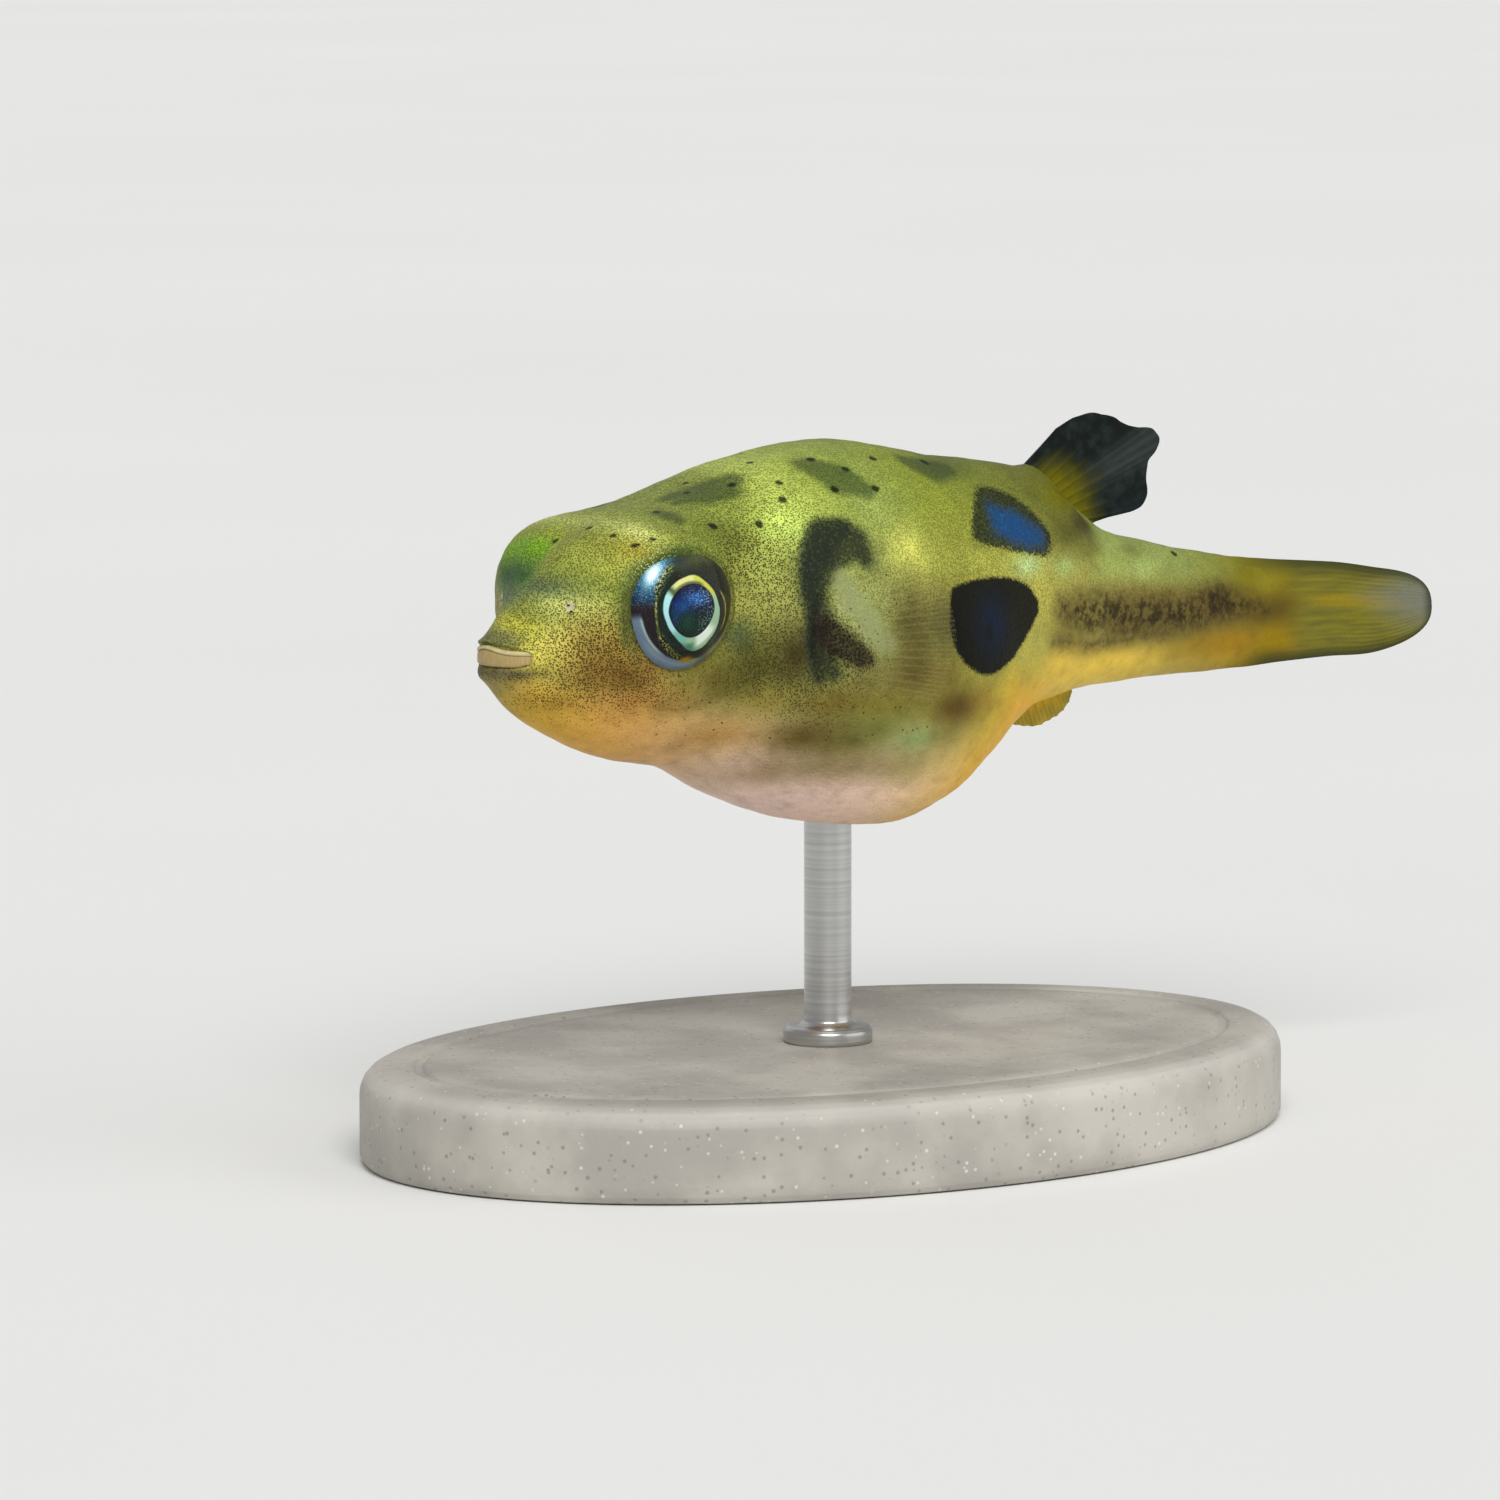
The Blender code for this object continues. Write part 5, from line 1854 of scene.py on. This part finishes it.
@dataclass
class PectoralFin:
    """One glassy fan behind the shoulder lobe."""

    side: Side
    base: Spot = (9.15, 3.66, -.05)
    root_half: float = 1.18
    spread: float = 1.62
    length: float = 2.15
    flare: float = math.radians(20)
    bow: float = .42

    def dress(self, place: Placement, material: Material) -> Piece:
        """Build the fan: its rays start on the bowed edge of the lobe and spread like a hand.

        Args:
            place: Where the fish lies.
            material: Its finish.

        Returns:
            The fin.
        """
        turn = np.linspace(-1, 1, 25)
        away = np.array((math.cos(self.flare), self.side.value * math.sin(self.flare), 0))
        across = (-self.side.value * math.sin(self.flare), math.cos(self.flare), 0)
        base = self.side.of(self.base)
        bow = self.bow * (1 - turn**2) - .1
        reach = self.length * np.sqrt(1 - .38 * turn**2)
        roots = base + np.outer(turn, (0, 0, self.root_half)) + np.outer(bow, away)
        rims = base + np.outer(turn, (0, 0, self.spread)) + np.outer(reach, away)
        node = f"fin_pectoral_{self.side.word}"
        plan = RayPlan(14, (.045, .016), .035, .05, .1)
        return FanFin(f"{node}_rays", node, "fin_clear", roots, rims, across, plan).dress(place, material)


@dataclass
class TailFin:
    """The tail fin, a rounded paddle of soft rays that grows out of the tail's root."""

    middle: Line = Line(((23.5, -.54), (25.6, -.6), (27.4, -.67), (29.1, -.8), (30.86, -.74)))
    half_height: Line = Line((
        (23.5, 1.4), (24.1, 1.44), (25.6, 1.35), (27.5, 1.25), (29.1, 1.18), (30.86, 1.14)))
    thickness: Line = Line(((23.5, .34), (24.5, .235), (25.4, .165), (27, .1), (30.86, .035)))
    start: float = 23.5
    root: float = 24.2
    end: float = 30.86
    rounding: float = 3.1
    rows: int = 190
    around: int = 240
    plan: RayPlan = RayPlan(10, (0, 0), .034, .012, .16)

    def dress(self, place: Placement, material: Material, coloration: Coloration) -> Piece:
        """Build the fin: sections |y / half thickness|^4 + |height|^3 = 1 whose faces carry the rays.

        Args:
            place: Where the fish lies.
            material: Its finish.
            coloration: The skin's colours, which run on into the root.

        Returns:
            The fin.
        """
        share = np.sin(np.linspace(0, math.pi / 2, self.rows))[:, None]
        x = self.start + (self.end - self.start - .004) * share
        turn = turns(self.around)
        up = round_power(np.sin(turn), 3)
        inside = np.clip((x - (self.end - self.rounding)) / self.rounding, 0, 1)
        tall = self.half_height.at(x) * (1 - inside**2.5) ** .42
        place_up = .5 + .5 * up
        ridge = self.plan.ridges(place_up, share)
        swell = self.plan.ridge * ridge * (1 - .6 * share) * ease(np.abs(up), 1, .9) * ease(x, 25, 27)
        half = self.thickness.at(x) + swell
        half = half * np.sqrt(np.clip(1 - share**40, .03, 1))
        height = up * tall / self.half_height.at(x)
        sway = self.plan.sway * ease(x, 25, 31) * np.sin(.9 * (x - 25) + 1.1 * height)
        y = -half * round_power(np.cos(turn), 4) + sway
        z = self.middle.at(x) + tall * up
        bulge = self.plan.scallop * (np.abs(np.cos(self.plan.rays * math.pi * place_up)) - .5) * share**12
        rings = joined(x + bulge, y, z)
        fields = {"ray": ridge, "reach": (x - self.root) / (self.end - self.root) + 0 * up,
                  "place": place_up + 0 * x, "tone": coloration.tone(rings, 2 * place_up - 1 + 0 * x)}
        made = Loft("fin_caudal_rays", rings, fields).build(place, material)
        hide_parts("fin_caudal")
        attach(made, ROOT)
        return made


# ---- stand ----

@dataclass(frozen=True)
class StoneFinish:
    """Honed warm-grey cast stone with fine grit, lighter along its rounded top edge."""

    def make(self) -> Material:
        """Build the material.

        Returns:
            The finish of the base.
        """
        paint = Paint("stand_stone")
        where = paint.spot()
        grit, lots = paint.cells(where, .2, 1)
        fine = paint.noise(where, .25, 3)
        base = paint.coats(
            (158, 154, 146),
            ((184, 180, 170), paint.noise(where, 3.2, 4).rise(.35, .68)),
            ((112, 108, 102), grit.rise(.34, .16) * paint.channel(lots).rise(.62, .74) * .6),
            ((222, 218, 208), grit.rise(.3, .12) * paint.channel(lots, 1).rise(.76, .86) * .6),
            ((214, 210, 202), paint.field("edge") * .35))
        return paint.finish({"Base Color": base, "Roughness": fine * .22 + .4,
                             "Normal": paint.relief(fine, .02), "Specular IOR Level": .4})


@dataclass(frozen=True)
class SteelFinish:
    """Turned steel: fine rings round the rod, slightly uneven in shine."""

    def make(self) -> Material:
        """Build the material.

        Returns:
            The finish of the rod.
        """
        paint = Paint("stand_steel")
        where = paint.spot()
        rings = paint.noise(paint.stretched(where, (.12, .12, 9)), 1, 2)
        soft = paint.noise(where, 1.2, 2)
        base = paint.coats((176, 176, 174), ((196, 196, 194), rings.rise(.3, .7)))
        return paint.finish({"Base Color": base, "Metallic": 1, "Roughness": rings * .08 + soft * .08 + .22,
                             "Normal": paint.relief(rings, .0015)})


@dataclass
class Stand:
    """The display stand: an oval base of cast stone and a turned steel rod with a collar."""

    base_insets: tuple[tuple[float, float], ...] = (
        (8.9, 0), (4, 0), (.35, 0), (.12, .05), (0, .22), (0, 1.7), (.02, 1.88), (.1, 2.08), (.24, 2.24),
        (.44, 2.35), (.7, 2.4), (1.3, 2.4), (1.36, 2.37), (1.42, 2.31), (1.5, 2.29), (1.58, 2.31),
        (1.64, 2.37), (1.7, 2.4), (4, 2.4), (8.9, 2.4))
    rod_profile: tuple[tuple[float, float], ...] = (
        (.02, 1.2), (.58, 1.2), (.6, 1.24), (.6, 2.36), (1.05, 2.37), (1.13, 2.45), (1.13, 2.72),
        (1.05, 2.82), (.72, 2.86), (.62, 2.95), (.6, 3.1), (.6, 6), (.6, 9.1), (.56, 9.17), (.02, 9.2))
    around: int = 160

    def dress(self, place: Placement) -> list[Piece]:
        """Build base and rod on the axis of their nodes.

        Args:
            place: Where the fish lies.

        Returns:
            The base and the rod.
        """
        low, high = np.array(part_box("stand_base")) / MM
        middle = (low + high) / 2
        shift = middle - place.shift
        half = (high - low) / 2
        turn = turns(self.around)
        inset, level = self._smoothed(self.base_insets, 5)
        x, y = (half[0] - inset) * np.cos(turn), (half[1] - inset) * np.sin(turn)
        rings = joined(x + shift[0], y + shift[1], level - place.shift[2])
        edge = bell(level - 2.2, .22) * bell(inset - .2, .4) + 0 * x
        base = Loft("stand_base_stone", rings, {"edge": edge}).build(place, StoneFinish().make())
        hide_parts("stand_base")

        top = float(np.array(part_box("stand_rod"))[1, 2]) / MM
        profile = tuple((radius, z if z < 5.9 else z - 9.2 + top) for radius, z in self.rod_profile)
        radius, level = self._smoothed(profile, 4)
        radius = np.maximum(radius, .01)
        rings = joined(radius * np.cos(turn) + shift[0], radius * np.sin(turn) + shift[1],
                       level - place.shift[2])
        rod = Loft("stand_rod_steel", rings).build(place, SteelFinish().make())
        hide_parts("stand_rod")
        for piece in (base, rod):
            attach(piece, ROOT)
        return [base, rod]

    @staticmethod
    def _smoothed(rows: tuple[tuple[float, float], ...], steps: int) -> tuple[Array, Array]:
        """Points between the rows of a profile.

        Args:
            rows: The profile.
            steps: How many steps between two rows.

        Returns:
            Its two columns.
        """
        table = np.array(rows)
        at = np.linspace(0, len(table) - 1, (len(table) - 1) * steps + 1)
        first, second = (np.interp(at, np.arange(len(table)), column) for column in table.T)
        return first[:, None], second[:, None]


# ---- studio ----

@dataclass(frozen=True)
class Lamp:
    """A distant soft lamp: the direction it shines from, how wide it looks in degrees, and its strength."""

    name: str
    direction: Spot
    width: float
    strength: float


@dataclass
class Studio:
    """Plain pale floor, soft lamps and the camera."""

    target: Spot = (10.8, 0.0, 0.0)
    azimuth: float = math.radians(-38)
    elevation: float = math.radians(6)
    distance: float = 220.0
    lens: float = 209.6
    sensor: float = 36.0
    shift: tuple[float, float] = (-.056, -.084)
    floor_half: float = 3.0
    ambient: float = .36
    lamps: tuple[Lamp, ...] = (
        Lamp("key", (-.45, -.75, .75), 34, 2.3),
        Lamp("fill", (.6, -.7, .28), 60, .8),
        Lamp("back", (.2, .8, .55), 50, .18),
    )

    def build(self, place: Placement) -> None:
        """Put up the floor, the lamps, the even light of the room and the camera.

        Args:
            place: Where the fish lies.
        """
        self._floor()
        target = Vector(place.metres(self.target))
        for lamp in self.lamps:
            data = bpy.data.lights.new(lamp.name, "SUN")
            data.angle = math.radians(lamp.width)
            data.energy = lamp.strength
            made = bpy.data.objects.new(f"lamp_{lamp.name}", data)
            made.rotation_euler = Vector(lamp.direction).to_track_quat("Z", "Y").to_euler()
            bpy.context.collection.objects.link(made)
        world = bpy.data.worlds.new("room")
        world.use_nodes = True
        sky = world.node_tree.nodes["Background"]
        sky.inputs["Color"].default_value = (1, 1, 1, 1)
        sky.inputs["Strength"].default_value = self.ambient
        scene = bpy.context.scene
        scene.world = world
        scene.view_settings.view_transform = "Standard"
        scene.view_settings.look = "None"
        scene.camera = self._camera(target)

    def _floor(self) -> None:
        """A wide pale floor at the level the stand rests on."""
        paint = Paint("floor")
        where = paint.spot()
        base = paint.coats((236, 236, 234), ((242, 242, 240), paint.noise(where, 60, 2)))
        material = paint.finish({"Base Color": base, "Roughness": .7, "Specular IOR Level": .2})
        half = self.floor_half
        mesh = bpy.data.meshes.new("studio_floor")
        mesh.from_pydata([(-half, -half, 0), (half, -half, 0), (half, half, 0), (-half, half, 0)], [],
                         [(0, 1, 2, 3)])
        mesh.materials.append(material)
        floor = bpy.data.objects.new("studio_floor", mesh)
        bpy.context.collection.objects.link(floor)

    def _camera(self, target: Vector) -> Piece:
        """The camera, looking level across the fish from its left and a little ahead of it.

        Args:
            target: The point it looks at.

        Returns:
            The camera.
        """
        back = Vector((math.sin(self.azimuth) * math.cos(self.elevation),
                       -math.cos(self.azimuth) * math.cos(self.elevation), math.sin(self.elevation)))
        data = bpy.data.cameras.new("camera")
        data.lens = self.lens
        data.sensor_width = self.sensor
        data.shift_x, data.shift_y = self.shift
        data.clip_start, data.clip_end = .01, 20
        made = bpy.data.objects.new("camera", data)
        made.location = target + back * self.distance * MM
        made.rotation_euler = back.to_track_quat("Z", "Y").to_euler()
        bpy.context.collection.objects.link(made)
        return made


# ---- the whole model ----


def main() -> None:
    """Build every sub-assembly in order and report each piece."""
    logging.basicConfig(level=logging.INFO, format="%(message)s")
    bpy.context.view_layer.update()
    seat = EyeSeat()
    place = Placement.from_eyes(seat.centre[0], seat.centre[2])
    pieces = [Skin(seat=seat).dress(place)]
    iris, cornea, horn = IrisFinish().make(), CorneaFinish().make(), BeakFinish().make()
    for side in Side:
        pieces += Eye(side, seat).dress(place, iris, cornea)
    for upper in (True, False):
        pieces.append(Beak(upper).dress(place, horn))
    pieces += MiddleFins().dress(place)
    pieces.append(TailFin().dress(place, FinFinish(FinKind.TAIL).make(), Coloration()))
    clear = FinFinish(FinKind.CLEAR).make()
    for side in Side:
        pieces.append(PectoralFin(side).dress(place, clear))
    pieces += Stand().dress(place)
    Studio().build(place)
    for piece in pieces:
        log.info("%s: %d faces", piece.name, len(piece.data.polygons))


if __name__ == "__main__":
    main()
